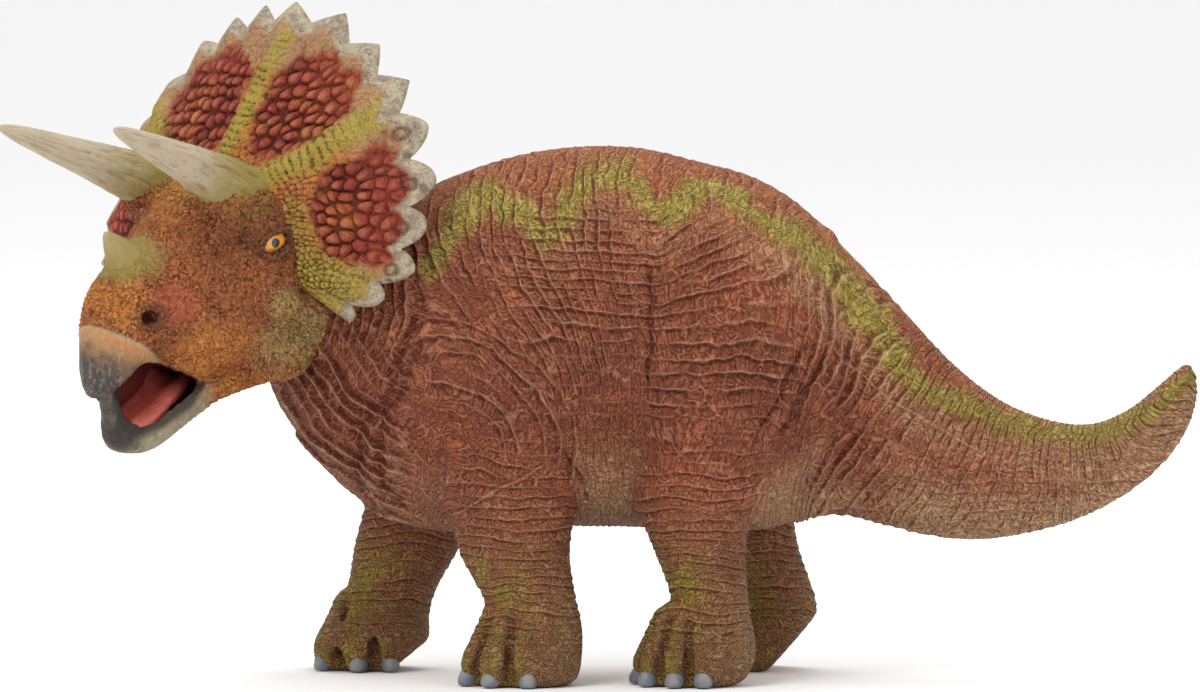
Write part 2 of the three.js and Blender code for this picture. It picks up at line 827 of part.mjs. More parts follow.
const group = new THREE.Group();
const head = new THREE.Group();
head.position.set(headAlong, headAcross, headHigh);
head.rotation.z = Math.PI + headTurn;
head.updateMatrixWorld(true);
group.add(head);

head.add(namedMesh('skull', makeSkull(), faceRed));
head.add(namedMesh('frill', makeFrill(), frillRed));
head.add(namedMesh('lower_jaw', jawBody(0).subtract(tongueBody(jointGap)), olive));
head.add(namedMesh('tongue', tongueBody(0), tonguePink));
head.add(namedMesh('nose_horn', noseHorn(0), boneGrey));
for (const [label, side] of [['left', 1], ['right', -1]]) {
  head.add(namedMesh(`brow_horn_${label}`, browHorn(side, 0), boneGrey));
  head.add(namedMesh(`eye_${label}`, eyeBody(side, 0), irisOrange));
}

// What the shell and the core make room for
let plugs = tailPlug(jointGap);
for (const plan of legPlans) plugs = plugs.add(legPeg(plan, jointGap));
const headRoom = toGeometry(skullBody(jointGap).add(frillBody(jointGap)).add(jawBody(jointGap)));
headRoom.applyMatrix4(head.matrixWorld);
plugs = plugs.add(toSolid(headRoom));

const shell = trunkBody(0).subtract(trunkHollow(0)).subtract(plugs);
let leftHalf = shell.intersect(sideOfParting(-1));
let rightHalf = shell.intersect(sideOfParting(1));
for (const share of locatingPegShares) {
  leftHalf = leftHalf.subtract(locatingPeg(share, jointGap));
  rightHalf = rightHalf.add(locatingPeg(share, 0));
}
group.add(namedMesh('torso_left_half', leftHalf, brick));
group.add(namedMesh('torso_right_half', rightHalf, brick));
group.add(namedMesh('torso_core', trunkHollow(jointGap).subtract(plugs), coreGrey));
group.add(namedMesh('tail', makeTail(), brick));
for (const plan of legPlans) group.add(namedMesh(plan.name, makeLeg(plan), brick));

// The origin lies on the ground under the middle of the figure
const reach = new THREE.Box3().setFromObject(group, true);
const middle = reach.getCenter(new THREE.Vector3());
group.position.set(-middle.x, -middle.y, -reach.min.z);

export default group;
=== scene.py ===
"""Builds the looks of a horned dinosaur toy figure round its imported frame."""

import math

import bpy
import numpy as np
import openvdb as vdb
from bpy.props import FloatProperty, FloatVectorProperty, PointerProperty
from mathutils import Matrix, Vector


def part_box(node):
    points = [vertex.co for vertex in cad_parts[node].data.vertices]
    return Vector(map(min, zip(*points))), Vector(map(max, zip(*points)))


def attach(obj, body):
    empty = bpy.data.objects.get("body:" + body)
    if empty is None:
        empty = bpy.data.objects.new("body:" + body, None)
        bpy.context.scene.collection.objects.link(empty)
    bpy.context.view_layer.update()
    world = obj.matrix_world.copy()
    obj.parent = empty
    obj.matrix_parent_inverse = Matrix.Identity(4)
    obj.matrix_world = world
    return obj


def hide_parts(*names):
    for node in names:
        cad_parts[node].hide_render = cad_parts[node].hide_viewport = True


bl_info = {
    "name": "Horned dinosaur figure",
    "version": (1, 0, 0),
    "blender": (4, 5, 0),
    "location": "3D View > Sidebar > Dinosaur",
    "description": "Builds the skin, head, frill, horns, eyes, claws and stage of a toy dinosaur figure",
    "category": "Object",
}

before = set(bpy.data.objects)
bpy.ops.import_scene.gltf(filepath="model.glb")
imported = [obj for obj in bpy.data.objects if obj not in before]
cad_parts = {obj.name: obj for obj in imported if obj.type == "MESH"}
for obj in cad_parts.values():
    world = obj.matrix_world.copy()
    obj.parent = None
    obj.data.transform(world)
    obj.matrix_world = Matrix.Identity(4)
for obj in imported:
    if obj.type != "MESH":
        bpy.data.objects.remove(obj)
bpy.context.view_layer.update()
MM = 0.001
CAP_DEPTH = 1.3  # how far inwards the openings between two pieces run, in millimetres

# The figure's own sizes, in millimetres, as the frame was made from them
BACK_HEIGHT, TRUNK_LENGTH, TRUNK_WIDTH = 106.7, 112.0, 62.0
TAIL_LENGTH, TAIL_HEIGHT, TAIL_WIDTH, TAIL_BEND, TAIL_JOINT = 78.0, 88.6, 34.0, 5.0, 46.0
TAIL_JOINT_SLOPE, TAIL_JOINT_HIGH = 0.105, 88.9
FRONT_LEG_HEIGHT, HIND_LEG_HEIGHT, LEG_TOP = 78.0, 86.0, 70
FOOT_LENGTH, FOOT_WIDTH, FOOT_OUTWARD = 24.0, 21.0, 20.5
SKULL_LENGTH, SKULL_HEIGHT, SKULL_WIDTH = 58.0, 44.0, 37.0
HEAD_PLACE = np.array([-77.0, -14.0, 88.0])
HEAD_TURN = math.radians(50)
EYE_PLACE = np.array([0.0, 15.6, 0.8])

# How square the sections are: 2 is an ellipse, and more is squarer
BODY_POWER, SKULL_POWER, MOUTH_POWER = 2.2, 2.3, 2.4

HEAD_COARSER, QUICK_COARSER = 1.32, 1.5

# Sections of the trunk, forwards from the tail joint, and of the tail, backwards from it, in
# shares of their sizes: the top's place along and up, the bottom's, the width, and how much
# of the head's turn or of the tail's bend a section has
TRUNK_SHARES = [
    [0.000, 0.834, 0.054, 0.296, 0.55, 0.0], [0.071, 0.898, 0.089, 0.284, 0.71, 0.0],
    [0.143, 0.939, 0.143, 0.274, 0.83, 0.0], [0.232, 0.965, 0.232, 0.275, 0.93, 0.0],
    [0.339, 0.991, 0.339, 0.281, 1.00, 0.0], [0.446, 0.994, 0.446, 0.283, 1.01, 0.0],
    [0.554, 0.978, 0.554, 0.280, 0.98, 0.0], [0.661, 0.943, 0.652, 0.272, 0.90, 0.0],
    [0.750, 0.905, 0.750, 0.284, 0.78, 0.0], [0.830, 0.880, 0.836, 0.326, 0.67, 0.1],
    [0.893, 0.865, 0.912, 0.402, 0.58, 0.2], [0.946, 0.850, 0.968, 0.489, 0.49, 0.35],
    [0.982, 0.820, 0.992, 0.564, 0.36, 0.5],
]
TAIL_SHARES = [
    [0.000, 1.000, -0.077, 0.356, 1.00, 0.0], [0.090, 0.920, 0.032, 0.365, 0.88, 0.0],
    [0.192, 0.823, 0.141, 0.342, 0.78, 0.0], [0.308, 0.713, 0.256, 0.318, 0.68, 0.05],
    [0.430, 0.628, 0.372, 0.309, 0.59, 0.12], [0.551, 0.582, 0.487, 0.320, 0.50, 0.22],
    [0.667, 0.569, 0.628, 0.352, 0.42, 0.34], [0.763, 0.600, 0.756, 0.408, 0.35, 0.48],
    [0.827, 0.642, 0.853, 0.476, 0.29, 0.64], [0.878, 0.680, 0.914, 0.548, 0.23, 0.80],
    [0.908, 0.702, 0.942, 0.615, 0.15, 0.92], [0.928, 0.707, 0.945, 0.672, 0.07, 1.00],
]

# Sections of the legs from the sole up, in shares: the height, the depth and the width
FRONT_LEG_SHARES = [
    [0.000, 0.86, 0.90], [0.020, 0.96, 1.00], [0.070, 0.98, 1.00], [0.125, 0.87, 0.88],
    [0.172, 0.77, 0.78], [0.225, 0.77, 0.78], [0.325, 0.90, 0.86], [0.430, 1.02, 0.98],
    [0.575, 1.22, 1.28], [0.740, 1.25, 1.72], [0.880, 0.92, 1.50], [1.000, 0.40, 0.80],
]
HIND_LEG_SHARES = [
    [0.000, 0.80, 0.88], [0.018, 0.90, 0.98], [0.063, 0.96, 0.98], [0.110, 0.87, 0.86],
    [0.156, 0.70, 0.72], [0.202, 0.64, 0.70], [0.295, 0.74, 0.80], [0.390, 0.92, 0.95],
    [0.510, 1.20, 1.22], [0.640, 1.42, 1.45], [0.780, 1.36, 1.42], [0.900, 0.95, 1.15],
    [1.000, 0.45, 0.70],
]

# How far towards the figure's middle each of those sections stands
FRONT_INWARD_SHARES = [0, 0, 0, 0.02, 0.04, 0.06, 0.11, 0.16, 0.22, 0.30, 0.36, 0.40]
HIND_INWARD_SHARES = [0, 0, 0, 0.02, 0.04, 0.06, 0.10, 0.14, 0.20, 0.28, 0.34, 0.38, 0.40]

# Each leg: its node, its side, whether it is a front leg, its foot's place along the figure,
# the flat part of its sole, its heel's rise, how far its sections lean and how its toes point
LEGS = [
    dict(node="front_leg_left", side=-1, is_front=True, along=-15.8, flat=1, heel=0,
         lean=[-0.03, 0, 0.02, 0.08, 0.11, 0.07, -0.04, -0.07, -0.11, -0.21, -0.27, -0.27],
         toes=[-22, 20, 58, 98]),
    dict(node="front_leg_right", side=1, is_front=True, along=-46.4, flat=0.66, heel=6.2,
         lean=[0, 0, 0.01, 0.06, 0.13, 0.20, 0.32, 0.47, 0.66, 0.80, 0.88, 0.88],
         toes=[-30, 32, 78, 112]),
    dict(node="hind_leg_left", side=-1, is_front=False, along=18.6, flat=1, heel=0,
         lean=[-0.05, -0.01, 0.03, 0.07, 0.12, 0.13, 0.06, 0.02, 0.08, 0.19, 0.27, 0.29, 0.29],
         toes=[-10, 34, 69, 99]),
    dict(node="hind_leg_right", side=1, is_front=False, along=30.8, flat=0.62, heel=10,
         lean=[0, 0.02, 0.05, 0.12, 0.19, 0.17, 0.01, -0.11, -0.15, -0.17, -0.18, -0.18, -0.18],
         toes=[-60, -22, 16, 50]),
]

# Sections of the head's pieces from the back forwards, in shares of the skull's sizes: the
# place, the top, the bottom and the width
SKULL_SHARES = [
    [-0.290, 0.205, -0.390, 0.70], [-0.205, 0.330, -0.475, 0.92], [-0.085, 0.375, -0.570, 1.00],
    [0.020, 0.340, -0.615, 0.99], [0.120, 0.250, -0.650, 0.86], [0.225, 0.135, -0.670, 0.74],
    [0.310, 0.035, -0.636, 0.63], [0.380, -0.040, -0.560, 0.55], [0.450, -0.090, -0.570, 0.48],
    [0.517, -0.140, -0.648, 0.39], [0.572, -0.205, -0.686, 0.28], [0.610, -0.320, -0.686, 0.16],
    [0.634, -0.443, -0.625, 0.07],
]
JAW_SHARES = [
    [-0.140, -0.455, -0.660, 0.67], [0.000, -0.510, -0.693, 0.65], [0.140, -0.570, -0.740, 0.60],
    [0.240, -0.625, -0.818, 0.54], [0.328, -0.670, -0.893, 0.48], [0.380, -0.750, -0.932, 0.42],
    [0.428, -0.800, -0.945, 0.34], [0.474, -0.750, -0.920, 0.25], [0.510, -0.670, -0.852, 0.16],
    [0.532, -0.660, -0.773, 0.08],
]
TONGUE_SHARES = [
    [0.190, -0.570, -0.670, 0.20], [0.290, -0.625, -0.730, 0.26], [0.362, -0.693, -0.795, 0.27],
    [0.425, -0.750, -0.855, 0.24], [0.480, -0.785, -0.860, 0.14],
]

# A horn's base, middle and tip, and its radius from the base to the tip
BROW_HORN_SHARES = [[-0.069, 0.227, 0.173], [0.343, 0.330, 0.348], [0.779, 0.416, 0.521]]
BROW_HORN_RADIUS, BROW_HORN_RADIUS_SHARES = 6.0, [1, 0.97, 0.87, 0.74, 0.60, 0.47, 0.34, 0.17]
NOSE_HORN_SHARES = [[0.353, 0, -0.205], [0.448, 0, -0.068], [0.538, 0, 0.050]]
NOSE_HORN_RADIUS, NOSE_HORN_RADIUS_SHARES = 5.6, [1, 0.98, 0.80, 0.58, 0.36, 0.12]

FRILL_CENTRE_FORWARD, FRILL_CENTRE_HIGH = -2.0, 2.0
FRILL_FOLD_HIGH, FRILL_FOLD_SOFTNESS, FRILL_LEAN, FRILL_LOWER_LEAN = 8.0, 4.0, 0.665, 0.3
FRILL_SWEEP_GAIN, FRILL_SWEEP_RADIUS, FRILL_REACH = 1.4, 61.0, 42.0
FRILL_THICKNESS, FRILL_RIM_THICKNESS, FRILL_SPIKE_DEPTH = 5.0, 2.4, 3.4

# Each spike's angle in degrees and its tip's reach, and which of the spikes carry a ring
FRILL_TIPS = [
    [-122, 0.72], [-112, 0.90], [-101, 1.04], [-90, 1.07], [-76, 1.055], [-62, 1.045], [-49, 1.04],
    [-34, 1.06], [-21, 1.065], [-10.5, 1.07], [0, 1.07], [17, 1.065], [32, 1.03], [46.5, 1.025],
    [61, 1.02], [76.5, 1.025], [89, 1.00], [101, 1.00], [112, 0.90], [122, 0.80],
]
FRILL_RINGED_TIPS = FRILL_TIPS[14:18]

# The camera, as the photograph's view was fitted: how far off it stands, how high it
# looks from, the scale at the figure and the point it looks at
VIEW_DISTANCE, VIEW_ELEVATION, VIEW_PIXELS_PER_MM = 2000.0, math.radians(2.6), 5.0
VIEW_WIDTH, VIEW_HEIGHT, VIEW_MIDDLE_ROW = 1200, 692, 346.84
VIEW_AIM_HIGH = 66.0

# Where the yellow-green band runs, in the photograph's pixels, and its half width there
BAND_LINE = [
    (432, 268, 8), (455, 225, 13), (485, 196, 16), (515, 210, 12), (545, 238, 12), (572, 205, 14),
    (592, 178, 14), (625, 176, 13), (652, 208, 11), (672, 214, 10), (692, 190, 12), (722, 188, 11),
    (752, 212, 11), (790, 236, 14), (826, 262, 14), (858, 302, 15), (886, 340, 14), (915, 382, 13),
    (955, 402, 12), (1010, 424, 12), (1070, 437, 11), (1120, 430, 10), (1165, 400, 9), (1192, 372, 8),
]

# The body's deep creases and its two raised seams, drawn the same way
CREASES = [
    [(412, 318, 3), (388, 396, 5), (358, 427, 6), (357, 478, 5), (376, 506, 3)],
    [(424, 340, 2), (404, 380, 4), (384, 419, 5), (376, 454, 5), (384, 485, 4), (402, 508, 2)],
    [(648, 262, 2), (652, 300, 3), (651, 340, 3), (650, 385, 2)],
    [(828, 350, 3), (806, 392, 4), (784, 432, 3)],
    [(806, 344, 2), (786, 388, 3), (762, 426, 2)],
    [(566, 452, 1), (580, 478, 2), (584, 500, 1)],
]
SEAMS = [[(543, 466, 1), (500, 489, 1), (455, 515, 1)], [(836, 352, 1), (881, 394, 1), (979, 450, 1)]]


def srgb(red, green, blue):
    """A colour as read off a screen, turned to the linear one that shaders take."""
    shares = [c / 255 for c in (red, green, blue)]
    return tuple(s / 12.92 if s <= 0.04045 else ((s + 0.055) / 1.055) ** 2.4 for s in shares)


def head_to_figure(points):
    """Points of the head's own frame (forward, left, up) in the figure's."""
    forward, left, up = np.asarray(points, float).T
    turn_cos, turn_sin = math.cos(HEAD_TURN), math.sin(HEAD_TURN)
    return np.stack([
        HEAD_PLACE[0] - turn_cos * forward + turn_sin * left,
        HEAD_PLACE[1] - turn_sin * forward - turn_cos * left,
        HEAD_PLACE[2] + up,
    ], 1)


def darker(colour, share):
    """A share of a colour."""
    return tuple(c * share for c in colour)


# The frame's own offset from the figure's sizes, found from the left eye's place
EYE_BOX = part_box("eye_left")
OFFSET = np.array((EYE_BOX[0] + EYE_BOX[1]) / 2) / MM - head_to_figure([EYE_PLACE])[0]


def to_frame(points):
    """Figure points in millimetres, in the frame and in metres."""
    return (np.asarray(points) + OFFSET) * MM


# Noise and patterns

DICE_SEED, DICE_SIDES = 7, 1024
_DICE = np.random.default_rng(DICE_SEED)
_ARROWS = _DICE.normal(size=(DICE_SIDES, 3))
_ARROWS /= np.linalg.norm(_ARROWS, axis=1, keepdims=True)
_SPOTS = _DICE.random((DICE_SIDES, 3))


def _draw(column, row, layer, seed):
    """One side of the dice for each cell of a lattice."""
    code = (column * 73856093) ^ (row * 19349663) ^ (layer * 83492791) ^ (seed * 265443576)
    code = ((code ^ (code >> 15)) * 224682251) & 0xFFFFFFFF
    code = ((code ^ (code >> 13)) * 326648991) & 0xFFFFFFFF
    return (code ^ (code >> 16)) & (DICE_SIDES - 1)


def noise(places, seed=0):
    """Smooth noise from about -1 to 1, with one lump to a unit."""
    cell = np.floor(places).astype(np.int64)
    part = places - cell
    ease = part * part * part * (part * (part * 6 - 15) + 10)
    total = np.zeros(len(places))
    for step in np.ndindex(2, 2, 2):
        arrow = _ARROWS[_draw(*(cell + step).T, seed)]
        pull = ((part - step) * arrow).sum(1)
        for axis in range(3):
            pull = pull * (ease[:, axis] if step[axis] else 1 - ease[:, axis])
        total += pull
    return total * 1.5


def cells(places, seed=0, jitter=0.85, flat=False):
    """Distances to the nearest and next of scattered points, and the nearest one's number."""
    cell = np.floor(places).astype(np.int64)
    part = places - cell
    near, following = np.full(len(places), 9.0), np.full(len(places), 9.0)
    owner = np.zeros(len(places))
    for step in np.ndindex(3, 3, 1 if flat else 3):
        shift = np.array(step) - (1, 1, 0 if flat else 1)
        number = _draw(*(cell + shift).T, seed)
        gap = shift + 0.5 + jitter * (_SPOTS[number] - 0.5) - part
        if flat:
            gap[:, 2] = 0
        gap = (gap * gap).sum(1)
        closer = gap < near
        following = np.where(closer, near, np.minimum(following, gap))
        owner = np.where(closer, number / (DICE_SIDES - 1), owner)
        near = np.minimum(near, gap)
    return np.sqrt(near), np.sqrt(following), owner


def rise(value, low, high):
    """0 below low and 1 above high, eased; low may be the larger."""
    share = np.clip((value - low) / (high - low), 0, 1)
    return share * share * (3 - 2 * share)


def folds(across, along, spacing, run, seed, sharp=1.0):
    """Rows of folds a spacing apart that wander and fade over a run. From 0 to 1."""
    place = np.stack([across / (spacing * 2.6), along / run, np.full_like(across, seed * 3.7)], 1)
    lane = across / spacing + 0.5 * noise(place, seed) + 0.16 * noise(place * 3.3, seed + 1)
    number = np.floor(lane)
    ridge = np.sin(np.pi * (lane - number)) ** sharp
    strength = noise(np.stack([number * 3.71, along / (run * 0.7), number * 0.37], 1), seed + 2)
    return ridge * np.clip(0.68 + 0.5 * strength, 0.1, 1)


def smooth_rows(rows, steps):
    """A table's columns as smooth curves, with steps rows for each of the table's."""
    rows = np.asarray(rows, float)
    rows = np.vstack([2 * rows[0] - rows[1], rows, 2 * rows[-1] - rows[-2]])
    place = np.linspace(0, len(rows) - 3, (len(rows) - 3) * steps + 1)
    first = np.minimum(place.astype(int), len(rows) - 4)
    part = (place - first)[:, None]
    a, b, c, d = (rows[first + k] for k in range(4))
    return 0.5 * (2 * b + (c - a) * part + (2 * a - 5 * b + 4 * c - d) * part**2
                  + (3 * b - a - 3 * c + d) * part**3)


# Solids as distances on a grid

def ring_faces(rings, sides):
    """The four-sided faces between rings of points, and the three-sided ones that close the ends."""
    side = np.arange(sides)
    after = (side + 1) % sides
    quads = np.concatenate([
        np.stack([row * sides + side, row * sides + after, (row + 1) * sides + after,
                  (row + 1) * sides + side], 1) for row in range(rings - 1)])
    last = (rings - 1) * sides
    caps = np.concatenate([
        np.stack([after, side, np.full(sides, rings * sides)], 1),
        np.stack([last + side, last + after, np.full(sides, rings * sides + 1)], 1)])
    return quads, caps


def oval_skin(middles, half_across, half_up, power, sides):
    """The points, four-sided and three-sided faces of a closed skin over oval rings."""
    turn = np.arange(sides) / sides * 2 * np.pi
    along = np.sign(np.cos(turn)) * np.abs(np.cos(turn)) ** (2 / power)
    up = np.sign(np.sin(turn)) * np.abs(np.sin(turn)) ** (2 / power)
    rings = (middles[:, None] + along[None, :, None] * half_across[:, None]
             + up[None, :, None] * half_up[:, None])
    points = np.vstack([rings.reshape(-1, 3), middles[:1], middles[-1:]])
    return points, *ring_faces(len(middles), sides)


class Block:
    """Distances on a grid of points, in millimetres, negative inside a solid."""

    BAND = 8  # how many grid steps off a skin its distances are still true
    SKIN_BAND = 3  # the same, for finding the surface

    def __init__(self, low, high, step):
        self.low, self.step = np.asarray(low, float), step
        self.counts = np.ceil((np.asarray(high, float) - self.low) / step).astype(int) + 1
        self.axes = [(self.low[k] + step * np.arange(self.counts[k])).astype(np.float32)
                     for k in range(3)]

    def grid(self):
        """The grid's coordinates, shaped so that sums of them fill the block."""
        x, y, z = self.axes
        return x[:, None, None], y[None, :, None], z[None, None, :]

    def solid(self, points, quads, caps):
        """The distances to a closed skin."""
        spots = np.ascontiguousarray((points - self.low) / self.step, np.float32)
        made = vdb.FloatGrid.createLevelSetFromPolygons(
            spots, triangles=np.ascontiguousarray(caps, np.uint32),
            quads=np.ascontiguousarray(quads, np.uint32), halfWidth=float(self.BAND))
        values = np.full(self.counts, self.BAND, np.float32)
        made.copyToArray(values)
        return values * self.step

    def ball(self, middle, radii, turn=0.0):
        """The distances to an egg shape, turned about the upright axis."""
        x, y, z = self.grid()
        dx, dy, dz = x - middle[0], y - middle[1], z - middle[2]
        if turn:
            dx, dy = (dx * math.cos(turn) + dy * math.sin(turn),
                      dy * math.cos(turn) - dx * math.sin(turn))
        reach = np.sqrt((dx / radii[0]) ** 2 + (dy / radii[1]) ** 2 + (dz / radii[2]) ** 2)
        return (reach - 1) * min(radii)

    def rod(self, start, end, radius, end_radius=None):
        """The distances to a round-ended rod that may taper."""
        start, end = np.asarray(start, float), np.asarray(end, float)
        run = end - start
        x, y, z = self.grid()
        share = ((x - start[0]) * run[0] + (y - start[1]) * run[1] + (z - start[2]) * run[2])
        share = np.clip(share / (run @ run), 0, 1)
        gap = np.sqrt((x - start[0] - share * run[0]) ** 2 + (y - start[1] - share * run[1]) ** 2
                      + (z - start[2] - share * run[2]) ** 2)
        return gap - (radius + (radius if end_radius is None else end_radius) * share
                      - radius * share)

    def at(self, values, points):
        """Values of the block at points, drawn evenly between the grid's own."""
        place = np.clip((points - self.low) / self.step, 0, self.counts - 1.001)
        first = place.astype(int)
        part = place - first
        total = 0
        for step in np.ndindex(2, 2, 2):
            share = 1
            for axis in range(3):
                share = share * (part[:, axis] if step[axis] else 1 - part[:, axis])
            total = total + share * values[tuple((first + step).T)]
        return total

    def skin(self, values):
        """The points and four-sided faces of the surface where the distance is zero."""
        made = vdb.FloatGrid(background=float(self.SKIN_BAND))
        near = np.clip(values / self.step, -self.SKIN_BAND, self.SKIN_BAND)
        made.copyFromArray(near.astype(np.float32))
        points, quads = made.convertToQuads(isovalue=0.0)
        points, quads = points.astype(float) * self.step + self.low, quads.astype(np.int64)
        corners = points[quads]
        volume = np.einsum("ij,ij->i", corners[:, 0],
                           np.cross(corners[:, 1] - corners[:, 0], corners[:, 2] - corners[:, 0])).sum()
        return points, quads[:, ::-1] if volume < 0 else quads


def melt(first, second, soft):
    """Two solids joined with a soft fillet."""
    share = np.clip(0.5 + 0.5 * (second - first) / soft, 0, 1)
    return second + (first - second) * share - soft * share * (1 - share)


def carve(solid, cutter, soft):
    """A solid with another cut out of it, with a soft edge."""
    return -melt(-solid, cutter, soft)


# Meshes

def fill_mesh(mesh, points, faces):
    """Gives a mesh its points and faces, which may have three or four corners."""
    counts = np.concatenate([np.full(len(f), f.shape[1]) for f in faces])
    corners = np.concatenate([f.ravel() for f in faces]).astype(np.int32)
    mesh.vertices.add(len(points))
    mesh.vertices.foreach_set("co", np.asarray(points, np.float32).ravel())
    mesh.loops.add(len(corners))
    mesh.loops.foreach_set("vertex_index", corners)
    mesh.polygons.add(len(counts))
    starts = np.concatenate([[0], np.cumsum(counts)[:-1]]).astype(np.int32)
    mesh.polygons.foreach_set("loop_start", starts)
    mesh.polygons.foreach_set("loop_total", counts.astype(np.int32))
    mesh.polygons.foreach_set("use_smooth", np.ones(len(counts), bool))
    mesh.update(calc_edges=True)


def vertex_normals(points, faces):
    """The smooth normals of a skin at its points."""
    normals = np.zeros_like(points)
    corners = points[faces]
    facing = np.cross(corners[:, 2] - corners[:, 0], corners[:, 3] - corners[:, 1])
    for corner in range(4):
        for axis in range(3):
            normals[:, axis] += np.bincount(faces[:, corner], facing[:, axis], len(points))
    return normals / np.maximum(np.linalg.norm(normals, axis=1, keepdims=True), 1e-12)


def relaxed(points, faces, rounds, share=0.5):
    """A skin evened out by moving each point towards the middle of its neighbours."""
    starts = np.concatenate([faces[:, k] for k in range(4)])
    ends = np.concatenate([faces[:, (k + 1) % 4] for k in range(4)])
    touching = np.bincount(starts, minlength=len(points)) + np.bincount(ends, minlength=len(points))
    for _ in range(rounds):
        middle = np.stack([np.bincount(starts, points[ends, axis], len(points))
                           + np.bincount(ends, points[starts, axis], len(points))
                           for axis in range(3)], 1) / np.maximum(touching, 1)[:, None]
        points = points + share * (middle - points)
    return points


def refined(points, faces):
    """A skin with each face parted in four and rounded, by a subdivision surface."""
    mesh = bpy.data.meshes.new("rough")
    fill_mesh(mesh, points, [faces])
    rough = bpy.data.objects.new("rough", mesh)
    bpy.context.scene.collection.objects.link(rough)
    finer = rough.modifiers.new("finer", "SUBSURF")
    finer.levels = finer.render_levels = 1
    result = bpy.data.meshes.new_from_object(
        rough.evaluated_get(bpy.context.evaluated_depsgraph_get()))
    spots = np.empty(len(result.vertices) * 3, np.float32)
    result.vertices.foreach_get("co", spots)
    corners = np.empty(len(result.loops), np.int32)
    result.loops.foreach_get("vertex_index", corners)
    bpy.data.objects.remove(rough)
    bpy.data.meshes.remove(mesh)
    bpy.data.meshes.remove(result)
    return spots.reshape(-1, 3).astype(float), corners.reshape(-1, 4).astype(np.int64)


def border_loops(faces):
    """The open edges of a set of faces, as closed rows of point numbers."""
    count = faces.shape[1]
    edges = np.concatenate([np.stack([faces[:, k], faces[:, (k + 1) % count]], 1)
                            for k in range(count)])
    span = edges.max() + 1
    ahead, back = edges[:, 0] * span + edges[:, 1], edges[:, 1] * span + edges[:, 0]
    following = {}
    for start, end in edges[~np.isin(ahead, back)]:
        following.setdefault(int(start), []).append(int(end))
    loops = []
    while following:
        start = next(iter(following))
        loop, here = [], start
        while here in following:
            loop.append(here)
            ends = following[here]
            there = ends.pop()
            if not ends:
                del following[here]
            here = there
        loops.append(loop)
    return loops


def place_piece(name, points, faces, nodes, material, attributes=(), normals=None):
    """One closed piece on the figure's body, its points in the figure's millimetres."""
    mesh = bpy.data.meshes.new(name)
    fill_mesh(mesh, to_frame(points), faces)
    for label, values in dict(attributes).items():
        values = np.asarray(values, np.float32)
        kind = "FLOAT" if values.ndim == 1 else "FLOAT_VECTOR"
        held = mesh.attributes.new(label, kind, "POINT")
        held.data.foreach_set("value" if values.ndim == 1 else "vector", values.ravel())
    if normals is not None:
        mesh.normals_split_custom_set_from_vertices(np.asarray(normals, np.float32))
    mesh.materials.append(material)
    piece = bpy.data.objects.new(name, mesh)
    bpy.context.scene.collection.objects.link(piece)
    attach(piece, "root")
    if nodes:
        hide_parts(*nodes)


def part_of_skin(chosen, points, faces, normals, attributes):
    """Some faces of a skin as a closed piece of their own, each opening capped from inside."""
    picked = faces[chosen]
    used, numbers = np.unique(picked, return_inverse=True)
    picked = numbers.reshape(picked.shape)
    spots, facing = points[used], normals[used]
    values = {label: held[used] for label, held in attributes.items()}
    caps, strips = [], [picked]
    for loop in border_loops(picked):
        loop = np.array(loop)
        after = np.roll(loop, -1)
        inner = len(spots) + np.arange(len(loop))
        inner_after = np.roll(inner, -1)
        strips.append(np.stack([after, loop, inner, inner_after], 1))
        sunk = spots[loop] - facing[loop] * CAP_DEPTH
        caps.append(np.stack([inner_after, inner, np.full(len(loop), len(spots) + len(loop))], 1))
        spots = np.vstack([spots, sunk, sunk.mean(0)])
        facing = np.vstack([facing, facing[loop], [0, 0, 1]])
        values = {label: np.concatenate([held, held[loop], held[:1]]) for label, held in values.items()}
    return spots, [np.vstack(strips), np.vstack(caps)], facing, values


# Shader arithmetic

class Reading:
    """One value inside a material, so that sums on it read as plain arithmetic."""

    def __init__(self, paint, socket):
        self.paint, self.socket = paint, socket

    def _sum(self, operation, *values):
        return self.paint.node("ShaderNodeMath", {"operation": operation}, dict(enumerate(values)))

    def __add__(self, other):
        return self._sum("ADD", self, other)

    def __sub__(self, other):
        return self._sum("SUBTRACT", self, other)

    def __rsub__(self, other):
        return self._sum("SUBTRACT", other, self)

    def __mul__(self, other):
        return self._sum("MULTIPLY", self, other)

    def largest(self, other):
        return self._sum("MAXIMUM", self, other)

    def pingpong(self, reach):
        """A wave that runs up to a reach and down again."""
        return self._sum("PINGPONG", self, reach)

    def clamp(self):
        """Held between 0 and 1."""
        return self._sum("MINIMUM", self.largest(0), 1)

    __radd__, __rmul__ = __add__, __mul__

    def rise(self, low, high):
        """0 at low and 1 at high, eased and held beyond them."""
        settings = {"interpolation_type": "SMOOTHSTEP"}
        if low > high:
            return 1 - self.rise(high, low)
        return self.paint.node("ShaderNodeMapRange", settings, {0: self, 1: low, 2: high})


